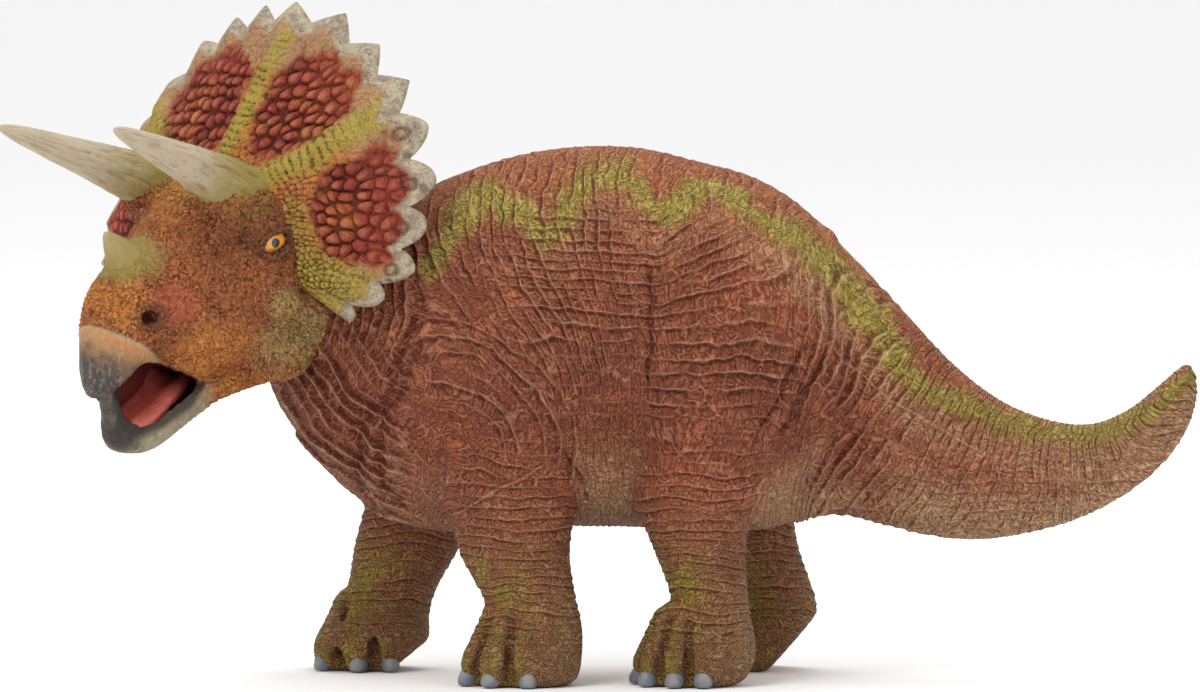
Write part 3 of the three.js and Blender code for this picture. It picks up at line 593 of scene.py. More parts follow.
class Paint:
    """A material being put together out of nodes."""

    STIR_SCALE = 420  # how many lumps to a metre the wandering of a net has

    def __init__(self, name):
        self.material = bpy.data.materials.new(name)
        self.material.use_nodes = True
        self.tree = self.material.node_tree
        self.shader = self.tree.nodes["Principled BSDF"]

    def node(self, kind, settings=None, sockets=None, out=0):
        """Any node: its settings go first, then the values and links of its sockets."""
        made = self.tree.nodes.new(kind)
        for key, value in (settings or {}).items():
            setattr(made, key, value)
        for key, value in (sockets or {}).items():
            self.feed(made.inputs[key], value)
        return Reading(self, made.outputs[out])

    def feed(self, socket, value):
        """Links a reading to a socket, or sets the socket's own value."""
        if isinstance(value, Reading):
            self.tree.links.new(value.socket, socket)
        elif socket.type == "RGBA" and len(value) == 3:
            socket.default_value = (*value, 1)
        else:
            socket.default_value = value

    def place(self):
        """Where a point of the surface lies, in metres."""
        return self.node("ShaderNodeTexCoord", out="Object")

    def grain(self, scale, detail=2.0, roughness=0.55, swirl=0.0):
        """Noise from 0 to 1 with so many lumps to a metre."""
        return self.node("ShaderNodeTexNoise", {"noise_dimensions": "3D"}, {
            "Vector": self.place(), "Scale": scale, "Detail": detail, "Roughness": roughness,
            "Distortion": swirl})

    def held(self, label):
        """A number that the mesh carries at its points."""
        return self.node("ShaderNodeAttribute", {"attribute_name": label}, out="Fac")

    def held_three(self, label):
        """Three numbers that the mesh carries at its points."""
        parts = self.node("ShaderNodeSeparateXYZ", None, {0: self.carried(label)}).socket.node
        return [Reading(self, socket) for socket in parts.outputs]

    def carried(self, label):
        """A vector that the mesh carries at its points."""
        return self.node("ShaderNodeAttribute", {"attribute_name": label}, out="Vector")

    def net(self, place, scale, wander):
        """The distance to the seams of a net of cells, laid over coordinates that wander a little."""
        stir = self.node("ShaderNodeTexNoise", None,
                         {"Vector": self.place(), "Scale": self.STIR_SCALE, "Detail": 2}, "Color")
        moved = self.node("ShaderNodeVectorMath", {"operation": "MULTIPLY_ADD"},
                          {0: stir, 1: (wander, wander, wander), 2: place})
        return self.node("ShaderNodeTexVoronoi", {"feature": "DISTANCE_TO_EDGE"},
                         {"Vector": moved, "Scale": scale, "Randomness": 0.85})

    def mix(self, share, under, over, how="MIX"):
        """One colour laid over another by a share."""
        return self.node("ShaderNodeMix", {"data_type": "RGBA", "blend_type": how},
                         {0: share, 6: under, 7: over}, 2)

    def finish(self, colour, roughness, height=None, depth=0.1, **fixed):
        """Feeds the shader; depth is the bump's, in millimetres."""
        self.feed(self.shader.inputs["Base Color"], colour)
        self.feed(self.shader.inputs["Roughness"], roughness)
        if height is not None:
            bump = self.node("ShaderNodeBump", None, {
                "Strength": 1.0, "Distance": depth * MM, "Height": height})
            self.feed(self.shader.inputs["Normal"], bump)
        for label, value in fixed.items():
            self.feed(self.shader.inputs[label.replace("_", " ").title().replace("Ior", "IOR")], value)
        return self.material


# Settings

def colour_setting(name, description, red, green, blue):
    return FloatVectorProperty(name=name, description=description, subtype="COLOR", size=3,
                               min=0, max=1, default=srgb(red, green, blue))


def length_setting(name, description, millimetres):
    return FloatProperty(name=name, description=description, unit="LENGTH", precision=4,
                         min=0, default=millimetres * MM)


class DinosaurSizes(bpy.types.PropertyGroup):
    """The depths and spacings of the sculpted skin."""

    skin_step: length_setting("Skin step", "Spacing of the body skin's first grid", 0.8)
    head_step: length_setting("Head step", "Spacing of the head skin's first grid", 0.5)
    fold_depth: length_setting("Fold depth", "Depth of the body's folds", 0.55)
    pebble_depth: length_setting("Pebble depth", "Height of the frill's pebbles", 0.55)
    head_grain_depth: length_setting("Head grain depth", "Depth of the face's fine relief", 0.34)


class DinosaurColours(bpy.types.PropertyGroup):
    """The paints of the figure."""

    brick: colour_setting("Brick", "The flank's main colour", 164, 96, 66)
    brick_deep: colour_setting("Deep brick", "The lower flank", 124, 66, 46)
    ember: colour_setting("Ember", "The flank's warm patches", 172, 88, 54)
    back_red: colour_setting("Back red", "The top of the back", 174, 106, 64)
    band: colour_setting("Band", "The yellow-green band", 162, 150, 66)
    pale: colour_setting("Pale tan", "The skin under the band", 186, 146, 108)
    under: colour_setting("Underside", "The belly and the tail's underside", 188, 156, 118)
    olive: colour_setting("Leg olive", "The shins and toes", 144, 128, 48)
    foot: colour_setting("Foot tan", "The feet", 134, 104, 68)
    # Wash and shade: the dark laid into grooves, cracks and hollows is partly the figure's own wash and
    # partly painted shade
    wash_and_shade: colour_setting("Wash", "The dark wash in the grooves", 150, 112, 92)
    # Dry brush and highlight: the pale laid onto ridges and raised relief is partly the figure's own dry
    # brush and partly painted highlight
    brush: colour_setting("Dry brush", "The pale dry brush on the ridges", 190, 150, 124)
    face: colour_setting("Face", "The face's red brown", 168, 98, 56)
    face_orange: colour_setting("Face orange", "The face's orange patches", 198, 126, 58)
    face_tan: colour_setting("Face tan", "The cheek and the jaw angle", 172, 150, 92)
    beak_dark: colour_setting("Beak dark", "The beak's tip", 66, 61, 58)
    beak_tan: colour_setting("Beak tan", "The beak's root", 170, 126, 80)
    frill_red: colour_setting("Frill red", "The frill's pebbled panels", 140, 56, 40)
    frill_yellow: colour_setting("Frill yellow", "The frill's ridges", 156, 138, 58)
    bone: colour_setting("Bone", "The horns and the frill's edge", 176, 162, 138)
    horn_olive: colour_setting("Horn olive", "The horns' roots", 142, 126, 66)
    claw: colour_setting("Claw", "The claws", 104, 112, 122)
    tongue: colour_setting("Tongue", "The tongue", 186, 84, 70)
    iris: colour_setting("Iris", "The iris", 248, 162, 52)
    blush: colour_setting("Blush", "The pink beside the nostrils", 178, 92, 64)
    umber: colour_setting("Umber", "The dark round the eyes and nostrils", 74, 42, 30)
    jaw_tan: colour_setting("Jaw tan", "The lower jaw's sides", 150, 138, 112)
    lip: colour_setting("Lip", "The dark edge of the mouth", 44, 36, 34)
    gullet: colour_setting("Gullet", "The inside of the mouth", 88, 30, 26)
    filler: colour_setting("Filler", "The light core", 205, 200, 188)
    floor: colour_setting("Floor", "The floor and the background", 250, 250, 250)


# Body

def photo_place(points):
    """Where points show in the photograph's pixels, the far side folded onto the near one."""
    x, y, z = points[:, 0], -np.abs(points[:, 1]), points[:, 2] - VIEW_AIM_HIGH
    depth = y * math.cos(VIEW_ELEVATION) - z * math.sin(VIEW_ELEVATION)
    up = z * math.cos(VIEW_ELEVATION) + y * math.sin(VIEW_ELEVATION)
    size = VIEW_PIXELS_PER_MM * VIEW_DISTANCE / (VIEW_DISTANCE + depth)
    return VIEW_WIDTH / 2 + x * size, VIEW_MIDDLE_ROW - up * size


def line_gap(across, down, line):
    """How far places in the photograph lie from a bent line, as shares of its half width."""
    nearest = np.full(len(across), 99.0)
    for (ax, ay, a_half), (bx, by, b_half) in zip(line, line[1:]):
        run_x, run_y = bx - ax, by - ay
        share = np.clip(((across - ax) * run_x + (down - ay) * run_y) / (run_x**2 + run_y**2), 0, 1)
        gap = np.hypot(across - ax - share * run_x, down - ay - share * run_y)
        nearest = np.minimum(nearest, gap / (a_half + (b_half - a_half) * share))
    return nearest


def upright_sections(table, along_from, along_size, height, width, direction, bend=0.0):
    """The middles and half axes of the trunk's or the tail's sections."""
    rows = smooth_rows(table, 8)
    top_x, top_z, low_x, low_z, half, last = rows.T
    sway = last * bend
    top = np.stack([along_from + direction * top_x * along_size, sway, top_z * height], 1)
    low = np.stack([along_from + direction * low_x * along_size, sway, low_z * height], 1)
    turn = last * HEAD_TURN if bend == 0 else last * 0
    side = np.stack([-np.sin(turn), np.cos(turn), turn * 0], 1)
    return (top + low) / 2, side * (half * width / 2)[:, None], (top - low) / 2


def leg_sections(leg):
    """The middles and half axes of a leg's level sections."""
    table = FRONT_LEG_SHARES if leg["is_front"] else HIND_LEG_SHARES
    inwards = FRONT_INWARD_SHARES if leg["is_front"] else HIND_INWARD_SHARES
    height = FRONT_LEG_HEIGHT if leg["is_front"] else HIND_LEG_HEIGHT
    rows = [[leg["along"] + lean * FOOT_LENGTH, leg["side"] * FOOT_OUTWARD * (1 - inward),
             high * height, depth * FOOT_LENGTH / 2, width * FOOT_WIDTH / 2]
            for (high, depth, width), lean, inward in zip(table, leg["lean"], inwards)]
    rows = smooth_rows(rows, 5)
    zero = rows[:, 3] * 0
    return (rows[:, :3], np.stack([rows[:, 3], zero, zero], 1), np.stack([zero, rows[:, 4], zero], 1))


def toe_places(leg):
    """Each toe's direction and the place of its claw on the foot's rim."""
    for degrees in leg["toes"]:
        turn = math.radians(degrees)
        out = np.array([-math.cos(turn), -math.sin(turn), 0.0])
        foot = np.array([leg["along"], leg["side"] * FOOT_OUTWARD, 0.0])
        yield out, foot + out * (FOOT_LENGTH / 2, FOOT_WIDTH / 2, 0)


def body_fields(block):
    """The distances to the trunk, the tail, each leg and the bottoms of the clefts between the toes."""
    trunk = block.solid(*oval_skin(*upright_sections(
        TRUNK_SHARES, TAIL_JOINT, TRUNK_LENGTH, BACK_HEIGHT, TRUNK_WIDTH, -1), BODY_POWER, 72))
    tail = block.solid(*oval_skin(*upright_sections(
        TAIL_SHARES, TAIL_JOINT, TAIL_LENGTH, TAIL_HEIGHT, TAIL_WIDTH, 1, TAIL_BEND), BODY_POWER, 56))
    for side in (-1, 1):
        trunk = melt(trunk, block.ball((-25, side * 20, 57), (17, 9.5, 19)), 5)
        trunk = melt(trunk, block.ball((26, side * 19, 62), (22, 9.5, 24)), 6)
    legs, clefts = [], np.float32(9)
    for leg in LEGS:
        body = block.solid(*oval_skin(*leg_sections(leg), BODY_POWER, 48))
        ways = list(toe_places(leg))
        for out, tip in ways:
            knuckle = tip - out * 7.2 + (0, 0, 12.5)
            body = melt(body, block.rod(knuckle, tip - out * 3.6 + (0, 0, 4.2), 3.6, 3.9), 1.1)
        for (out, tip), (next_out, next_tip) in zip(ways, ways[1:]):
            way = (out + next_out) / np.linalg.norm(out + next_out)
            rim = (tip + next_tip) / 2 + way * 0.2
            high = rim - way * 3.5 + (0, 0, 13.2)
            body = carve(body, block.rod(rim, high, 1.75, 0.4), 1.4)
            clefts = np.minimum(clefts, block.rod(rim - way * 0.9, high - way * 0.5, 0.4, 0.2))
        if leg["heel"]:
            hinge = leg["along"] - FOOT_LENGTH / 2 + leg["flat"] * FOOT_LENGTH
            x, _, z = block.grid()
            slope = math.atan2(leg["heel"], leg["along"] + FOOT_LENGTH / 2 - hinge)
            lift = (x - hinge) * math.sin(slope) - z * math.cos(slope)
            body = np.maximum(body, lift)
        legs.append(body)
    return trunk, tail, legs, clefts


def lanes(place, places, spacings):
    """A count of lines along a place, where the spacing between them changes along it."""
    grid = np.linspace(places[0], places[-1], 400)
    count = np.cumsum(1 / np.interp(grid, places, spacings)) * (grid[1] - grid[0])
    return np.interp(place, grid, count)


def masks(points, normals, trunk_gap, leg_gaps):
    """Where the body is a leg, the tail or the top of the back."""
    x, _, z = points.T
    leg_gap = np.minimum.reduce(leg_gaps)
    on_leg = rise(trunk_gap - leg_gap, -2.5, 2.5) * rise(z, 58, 36)
    on_tail = rise(x + 0.12 * (z - 60), 40, 56)
    on_top = rise(normals[:, 2], 0.45, 0.8) * (1 - on_leg)
    return on_leg, on_tail, on_top


def body_lines(points, on_leg, on_tail, on_top):
    """Six families of raised lines: a count for each, whole on a line, a strength and a net."""
    x, y, z = points.T
    beside = np.abs(y)
    side_on = (1 - on_leg**2) * (1 - 0.7 * on_top)
    sway = noise(points / 13, 11)
    stir = noise(points / 4.5, 12)

    fan = 15 * rise(z, 90, 56) * rise(x, -40, -26) * rise(x, 14, -10)
    front = -9 * rise(z, 74, 52) * rise(x, -30, -42)
    middle = np.interp(x, [30, 46, 60, 78, 95, 104, 118], [70, 66, 56, 46, 42, 45, 60])
    lean = np.interp(x, [28, 42, 70, 95, 104, 116], [0, -0.5, -0.42, 0, 0.35, 0.9])
    above = np.hypot(z - middle, 5) + (z - middle)
    above = above / 2 * rise(x, 42, 62) - (np.hypot(z - middle, 5) - (z - middle)) / 2
    upright = lanes(x - fan - front + lean * above + 0.12 * (beside - 20) * on_top,
                    [-90, -44, -22, 0, 30, 44, 66, 125], [2.0, 2.0, 2.7, 2.4, 2.6, 2.3, 1.6, 1.3])
    climb = 0.45 * (x - 10) * rise(x, 8, 14) * rise(z, 66, 94) * rise(x, 56, 40)
    level = lanes(z - climb + 0.004 * (x - 26) ** 2 * rise(x, 8, 14) + 0.03 * x,
                  [0, 40, 54, 62, 71, 77, 120], [1.7, 1.9, 2.4, 3.2, 3.0, 2.0, 1.8])
    arm = np.hypot(x + 31, z - 46)
    arm_turn = np.degrees(np.arctan2(z - 46, x + 31))
    arcs = arm / 2.9
    throat = np.hypot(x + 20, z - 85) / 2.5
    rings = lanes(z + 0.10 * y + 1.6 * sway, [-5, 12, 30, 60, 120], [1.5, 1.7, 2.0, 2.6, 2.6])
    along_tail = 13 * np.arctan2(beside, z - middle) / 3.2

    behind_frill = rise(x, -28, -38) * rise(z, 52, 62)
    shoulder_top = rise(x, -36, -28) * rise(x, 8, -4) * rise(z, 56, 68)
    mid = rise(x, -22, -8) * rise(x, 16, 8)
    hip = rise(x, 8, 12) * rise(x, 46, 36)
    rear = rise(x, 34, 46)
    force_upright = 0.95 * behind_frill + 0.8 * shoulder_top + 0.42 * mid + 0.16 * hip + 0.85 * rear
    force_upright = np.clip(force_upright, 0, 0.95) * (1 - on_leg**2)
    force_upright = np.maximum(force_upright, 0.7 * on_top)
    force_level = (0.25 * behind_frill + 0.25 * shoulder_top + (0.25 + 0.6 * rise(z, 62, 74)) * mid
                   + 0.85 * hip * rise(z, 46, 58))
    force_level = np.clip(force_level, 0, 0.9) * side_on * (1 - 0.9 * rear) * (1 - on_top)
    force_arcs = (rise(arm, 9, 13) * rise(arm, 31, 24) * rise(arm_turn, -40, -10)
                  * rise(arm_turn, 120, 90) * side_on)
    force_throat = rise(x, -33, -45) * rise(z, 76, 62) * (1 - on_leg)
    force_upright = force_upright * (1 - 0.85 * force_throat) * (1 - 0.6 * force_arcs)
    counts = np.stack([upright, level, arcs, throat, rings, along_tail], 1)
    forces = np.stack([force_upright, force_level, 0.75 * force_arcs, 0.95 * force_throat,
                       0.8 * (1 - (1 - on_leg) ** 2) * rise(z, 4, 14), 0.3 * on_tail], 1)

    # The net's own coordinates: across the body and up it, then across each leg and up it
    net = np.stack([upright, level], 1)
    for is_far, is_front in ((False, False), (False, True), (True, False), (True, True)):
        chosen = ((y > 0) == is_far) & ((x < 2) == is_front)
        share = on_leg[chosen][:, None]
        own, weight = np.stack([x / 2.0, 1.35 * rings], 1)[chosen], share * (1 - share) + 1e-9
        own += ((net[chosen] - own) * weight).sum(0) / weight.sum()
        net[chosen] += (own - net[chosen]) * share
    net[:, 0] += 0.9 * sway
    net[:, 1] += 0.9 * stir

    # The lines wander, the weaker family breaks step at the stronger one, and lines fade out
    bricks = noise(np.stack([np.floor(level) * 5.3, np.floor(level) * 0.37, x / 40], 1), 61)
    counts[:, 0] += 1.1 * bricks * rise(force_level - force_upright, -0.1, 0.3)
    for family in range(6):
        for size, share in ((11.0, 0.5), (4.0, 0.24), (1.7, 0.10)):
            counts[:, family] += share * noise(points / size, 20 + family * 3 + int(size))
        number = np.round(counts[:, family])
        other = counts[:, 1] if family in (0, 3) else counts[:, 0]
        fade = noise(np.stack([number * 3.71, other / 3.2, number * 0.23], 1), 50 + family)
        forces[:, family] *= np.clip(0.78 + 1.1 * fade, 0.0, 1)
    return counts, forces, net


def drawn_marks(points, normals):
    """How deep the drawn creases lie at each point, and how far the nearest seam runs, in pixels."""
    across, down = photo_place(points)
    outward = rise(np.abs(normals[:, 1]), 0.15, 0.45)
    across = across + 5 * noise(points / 5, 211)
    gaps = np.minimum.reduce([line_gap(across, down, line) for line in CREASES])
    crease = np.exp(-gaps**2) * outward
    seam = np.minimum.reduce([line_gap(across, down, line) for line in SEAMS])
    return crease, np.minimum(seam + 12 * (1 - outward), 12)


def body_height(points, counts, forces, crease, seam, on_leg, on_tail, on_top):
    """How far the skin is raised by its lines, in shares of the fold depth, and how hollow it lies, which
    sets where shade and highlight are painted on it.
    """
    x, _, z = points.T
    gap = counts - np.round(counts)
    crest = (forces * np.exp(-(gap / 0.18) ** 2)).max(1)
    ditch = (forces * np.exp(-((gap + 0.27) / 0.14) ** 2)).max(1)
    broad = np.maximum(rise(x, -26, -38) * rise(z, 40, 55), 0.8 * rise(x, 40, 48) * rise(x, 66, 54))
    waves = (forces[:, [0, 3]] * np.cos(2 * np.pi * counts[:, [0, 3]])).sum(1)
    lump = noise(points / 2.4, 93) * 0.45 + noise(points / 1.15, 91) * 0.45 + noise(points / 0.65, 92) * 0.3
    height = crest * 0.78 - ditch * 0.62 + 0.6 * broad * waves + 0.45 * lump - 1.3 * crease
    height *= (1 - 0.55 * on_top) * (1 - 0.45 * on_leg) * (1 - 0.25 * on_tail)
    height += 0.35 * np.exp(-(seam / 2.6) ** 2)
    # Hollow: high in the ditches, creases and clefts, where the skin is darkened with painted shade, and low
    # on raised parts, which get painted highlight
    hollow = np.clip(0.45 + 0.4 * (ditch - crest) + 0.4 * broad * -waves + 0.8 * crease - 0.3 * lump, 0, 1)
    return height, hollow


def body_zones(points, normals, on_leg, on_tail):
    """Where each paint lies on the body, two sets of three shares."""
    x, y, z = points.T
    across, down = photo_place(points)
    wander = np.stack([x / 6, y / 6, z / 6], 1)
    across = across + 10 * noise(wander, 201) + 5 * noise(wander * 3, 203)
    down = down + 10 * noise(wander + 31, 202) + 5 * noise(wander * 3, 204)
    band = rise(line_gap(across, down, BAND_LINE), 1.75, 0.25)
    lower = [(px, py + 22 + half, half + 6) for px, py, half in BAND_LINE]
    pale = rise(line_gap(across, down, lower), 1.6, 0.2) * (1 - band) * (1 - on_leg)
    pale *= rise(across, 470, 620) * (0.5 + 0.5 * rise(across, 720, 800))
    facing = normals[:, 2]
    under = np.maximum(rise(facing, -0.25, -0.8) * (1 - on_leg) * 0.85,
                       on_tail * rise(facing, 0.05, -0.5) * rise(x, 48, 66))
    under = np.maximum(under * (0.35 + 0.65 * rise(x, -30, -14)), 0.6 * rise(x, 62, 112))
    ankle = rise(np.abs(z - 17), 13, 3) * rise(normals[:, 0], 0.35, -0.5)
    toes = rise(z, 10, 3) * rise(normals[:, 0], 0.4, -0.2)
    olive = on_leg * np.maximum(ankle, toes) * rise(noise(wander * 1.3, 205), -0.5, 0.2)
    foot = np.maximum(rise(z, 26, 10), 0.7 * on_leg * rise(z, 44, 20))
    heel = on_leg * rise(z, 26, 10) * rise(normals[:, 0], 0.2, 0.8)
    deep = rise(down, 250, 380) * (1 - on_tail) * (1 - under) * (1 - 0.7 * on_leg)
    return (np.stack([band * (1 - on_leg), pale, np.maximum(under, 0.8 * heel)], 1),
            np.stack([olive, foot, deep], 1))


def skin_paint(colours):
    """The body's skin: painted zones, a dark wash with painted shade beside its raised lines and in its
    hollows, and a dry brush with painted highlight on them.
    """
    paint = Paint("dinosaur_skin")
    counts = paint.held_three("counts_a") + paint.held_three("counts_b")
    forces = paint.held_three("forces_a") + paint.held_three("forces_b")
    band, pale, under = paint.held_three("zones_a")
    olive, foot, deep = paint.held_three("zones_b")
    hollow, top, seam = paint.held_three("marks")
    broad, patchy, fine = paint.grain(70, 3), paint.grain(330, 4, 0.6), paint.grain(2300, 3, 0.65)
    wrinkle = paint.grain(1250, 3, 0.6, 1.8)
    # Painted highlight on the raised seams and painted shade in a band beside them
    lines, ditches = seam.rise(1.9, 0.5) * 0.9, seam.rise(1.6, 2.6) * seam.rise(4.6, 2.6) * 0.5
    # Each raised line gets a painted highlight, and the ditch just to one side of it gets painted shadow
    for count, force in zip(counts, forces):
        lines = lines.largest(count.pingpong(0.5).rise(0.12, 0.03) * force)
        ditches = ditches.largest((count + 0.19).pingpong(0.5).rise(0.17, 0.05) * force)
    net, small = paint.net(paint.carried("net"), 0.85, 0.75), paint.net(paint.carried("net"), 2.1, 0.7)
    broken = patchy.rise(0.40, 0.55)
    # The net's seams get a painted highlight and painted shade beside them too
    lines = lines.largest(net.rise(0.07, 0.02) * broken * 0.5)
    ditches = ditches.largest(net.rise(0.06, 0.11) * net.rise(0.24, 0.13) * broken * 0.7)
    # Cracks are darkened with painted shade; sparks are raised specks lightened with painted highlight
    cracks = (small.rise(0.16, 0.04) * patchy.rise(0.64, 0.44)).largest(wrinkle.rise(0.45, 0.36) * 0.85)
    sparks = small.rise(0.08, 0.02) * patchy.rise(0.5, 0.7) * 0.4 + wrinkle.rise(0.59, 0.70) * 0.55

    colour = paint.mix(broad.rise(0.38, 0.66) * 0.6, colours.brick, colours.brick_deep)
    colour = paint.mix(deep * (0.62 + 0.35 * broad), colour, colours.brick_deep)
    colour = paint.mix(patchy.rise(0.52, 0.7) * 0.35, colour, colours.ember)
    colour = paint.mix(top * 0.75, colour, colours.back_red)
    colour = paint.mix(pale * (0.15 + 0.75 * patchy), colour, colours.pale)
    colour = paint.mix(under * (0.45 + 0.6 * patchy), colour, colours.under)
    colour = paint.mix(foot * (0.5 + 0.5 * patchy), colour, colours.foot)
    colour = paint.mix(olive * (0.45 + 0.8 * patchy), colour, colours.olive)
    colour = paint.mix((band * (0.6 + 0.95 * patchy)).clamp() * 0.92, colour, colours.band)
    # A darker copy of the colour, laid in as the wash and as painted shade in the ditches, cracks and
    # hollows
    dark = paint.mix(1.0, colour, colours.wash_and_shade, "MULTIPLY")
    shade = ditches * 0.85 + cracks * 0.7 + hollow.rise(0.55, 1.0) * 0.5
    colour = paint.mix((shade * (0.5 + 0.9 * patchy)).clamp(), colour, dark)
    # Painted highlight on the lines, the sparks and the parts away from the hollows, laid in with the dry
    # brush
    light = lines * (0.35 + 0.65 * fine.rise(0.3, 0.6)) + sparks * 0.5 + hollow.rise(0.4, 0.0) * 0.25
    colour = paint.mix((light * (0.35 + 0.9 * patchy)).clamp(), colour,
                       paint.mix(0.5, colour, colours.brush, "SCREEN"))
    roughness = 0.60 + 0.14 * fine
    height = lines * 0.6 - ditches * 0.5 - cracks * 0.4 + wrinkle * 0.5 + fine * 0.2
    return paint.finish(colour, roughness, height, 0.5, specular_ior_level=0.16)


def build_body(sizes, colours):
    """The trunk, tail and legs as one sculpted skin, parted into their pieces."""
    step = sizes.skin_step / MM * 1
    block = Block((-75, -46, -3), (122, 46, 112), step)
    trunk, tail, legs, clefts = body_fields(block)
    whole = melt(trunk, tail, 3.0)
    for leg in legs:
        whole = melt(whole, leg, 3.2)
    whole = np.maximum(whole, -block.grid()[2])
    points, faces = block.skin(whole)
    points, faces = refined(relaxed(points, faces, 2, 0.3), faces)
    normals = vertex_normals(points, faces)
    trunk_gap = block.at(trunk, points)
    leg_gaps = [block.at(leg, points) for leg in legs]
    on_leg, on_tail, on_top = masks(points, normals, trunk_gap, leg_gaps)
    counts, forces, net = body_lines(points, on_leg, on_tail, on_top)
    crease, seam = drawn_marks(points, normals)
    # The clefts between the toes join the creases: sunk into the skin and darkened with painted shade
    crease = np.maximum(crease, 0.5 * rise(block.at(clefts, points), 1.2, 0.5))
    height, hollow = body_height(points, counts, forces, crease, seam, on_leg, on_tail, on_top)
    zones_a, zones_b = body_zones(points, normals, on_leg, on_tail)
    height *= sizes.fold_depth / MM * rise(points[:, 2], -0.2, 1.6)
    points = points + normals * height[:, None]
    points[:, 2] = np.maximum(points[:, 2], 0)
    normals = vertex_normals(points, faces)
    attributes = {"zones_a": zones_a, "zones_b": zones_b, "marks": np.stack([hollow, on_top, seam], 1),
                  "counts_a": counts[:, :3], "counts_b": counts[:, 3:],
                  "forces_a": forces[:, :3], "forces_b": forces[:, 3:],
                  "net": np.column_stack([net, net[:, 0] * 0])}

    middle = points[faces].mean(1)
    leg_near = np.stack([values[faces].mean(1) for values in leg_gaps])
    is_leg = (leg_near.min(0) < np.minimum(trunk_gap[faces].mean(1), 2)) & (middle[:, 2] < LEG_TOP)
    labels = np.where(is_leg, leg_near.argmin(0) + 1, 0)
    joint = middle[:, 0] + TAIL_JOINT_SLOPE * (middle[:, 2] - TAIL_JOINT_HIGH) > TAIL_JOINT
    names = ["torso_left_half", *(leg["node"] for leg in LEGS), "tail", "torso_right_half"]
    labels = np.where((labels == 0) & joint, names.index("tail"), labels)
    labels = np.where((labels == 0) & (middle[:, 1] > 0), names.index("torso_right_half"), labels)
    labels = tidy_labels(labels, faces, len(points))
    material = skin_paint(colours)
    for label, node in enumerate(names):
        spots, parts, facing, values = part_of_skin(labels == label, points, faces, normals, attributes)
        place_piece(f"{node}_skin", spots, parts, [node], material, values, facing)


def tidy_labels(labels, faces, count):
    """Labels with stray faces given to the pieces round them."""
    for _ in range(6):
        votes = np.zeros((count, labels.max() + 1))
        for corner in range(4):
            np.add.at(votes, (faces[:, corner], labels), 1)
        labels = votes[faces].sum(1).argmax(1)
    return labels


# Claws

def egg(sides=32, rings=20):
    """The points and faces of a closed round skin of radius one, for shaping."""
    down = (np.arange(rings) + 0.5) / rings * np.pi
    turn = np.arange(sides) / sides * 2 * np.pi
    points = np.stack([np.outer(np.sin(down), np.cos(turn)), np.outer(np.sin(down), np.sin(turn)),
                       np.outer(np.cos(down), np.ones(sides))], 2).reshape(-1, 3)
    points = np.vstack([points, [0, 0, 1], [0, 0, -1]])
    quads, caps = ring_faces(rings, sides)
    return points, [np.roll(quads[:, ::-1], 1, 1), caps[:, [1, 0, 2]]]


def claw_paint(colours):
    """The claws' blue-grey paint, paler at the edges."""
    paint = Paint("dinosaur_claw")
    patchy, fine = paint.grain(500, 3), paint.grain(2600, 3)
    rub = paint.held("rub")
    colour = paint.mix(patchy.rise(0.35, 0.7), colours.claw, darker(colours.claw, 0.55))
    colour = paint.mix(rub * (0.1 + 0.35 * fine), colour, colours.bone)
    return paint.finish(colour, 0.5 + 0.15 * fine, fine, 0.1)


def build_claws(colours):
    """Four rounded claws on each foot."""
    material = claw_paint(colours)
    for leg in LEGS:
        spots, quads, caps, rub = [], [], [], []
        for out, tip in toe_places(leg):
            unit, (fours, threes) = egg()
            side = np.array([-out[1], out[0], 0])
            narrow = 1.85 - 0.5 * unit[:, 2]
            reach = 1.9 - 0.25 * unit[:, 2]
            up = 1.75 + 2.2 * unit[:, 2]
            body = (tip - out * 1.0 + out * (unit[:, :1] * reach[:, None] - 0.55 * unit[:, 2:])
                    + side * unit[:, 1:2] * narrow[:, None])
            body[:, 2] = np.maximum(up, 0.05)
            base = sum(len(part) for part in spots)
            spots.append(body)
            quads.append(fours + base)
            caps.append(threes + base)
            rub.append(rise(unit[:, 0], 0.55, 0.95))
        place_piece(f"{leg['node']}_claws", np.vstack(spots), [np.vstack(quads), np.vstack(caps)], [],
                    material, {"rub": np.concatenate(rub)})


# Head

RELIEF_LEVEL = 0.62  # the face's relief where its skin is neither raised nor sunk

# The almond of the eye's opening: its middle, its tilt and the two arcs that bound it
EYE_OPENING = (0.6, 17.4, -0.3)
EYE_TILT, EYE_ARC, EYE_ARC_SHIFT = math.radians(-21), 4.95, 3.35

# Both ends of the line between beak and face, and of the mound that carries the nose horn
BEAK_LINE_FRONT, BEAK_LINE_BACK = (36.2, -16.1), (22.4, -23.2)
NOSE_MOUND = (17, 0, -9), (23.5, 0, -4.8)
MOUTH_SHARES = [
    [0.120, -0.560, -0.640, 0.12], [0.190, -0.545, -0.730, 0.33], [0.270, -0.530, -0.800, 0.43],
    [0.350, -0.515, -0.862, 0.385], [0.420, -0.515, -0.895, 0.295], [0.475, -0.520, -0.870, 0.195],
    [0.495, -0.560, -0.765, 0.07],
]


def head_sections(table):
    """The middles and half axes of sections through the head."""
    forward, top, low, half = smooth_rows(table, 6).T
    zero = forward * 0
    return (np.stack([forward * SKULL_LENGTH, zero, (top + low) / 2 * SKULL_HEIGHT], 1),
            np.stack([zero, half * SKULL_WIDTH / 2, zero], 1),
            np.stack([zero, zero, (top - low) / 2 * SKULL_HEIGHT], 1))


def eye_gap(x, z):
    """How far places on the head's side lie outside the almond of the eye's opening."""
    dx, dz = x - EYE_OPENING[0], z - EYE_OPENING[2]
    along = dx * math.cos(EYE_TILT) + dz * math.sin(EYE_TILT)
    up = dz * math.cos(EYE_TILT) - dx * math.sin(EYE_TILT)
    return np.maximum(np.hypot(along, up + EYE_ARC_SHIFT), np.hypot(along, up - EYE_ARC_SHIFT)) - EYE_ARC


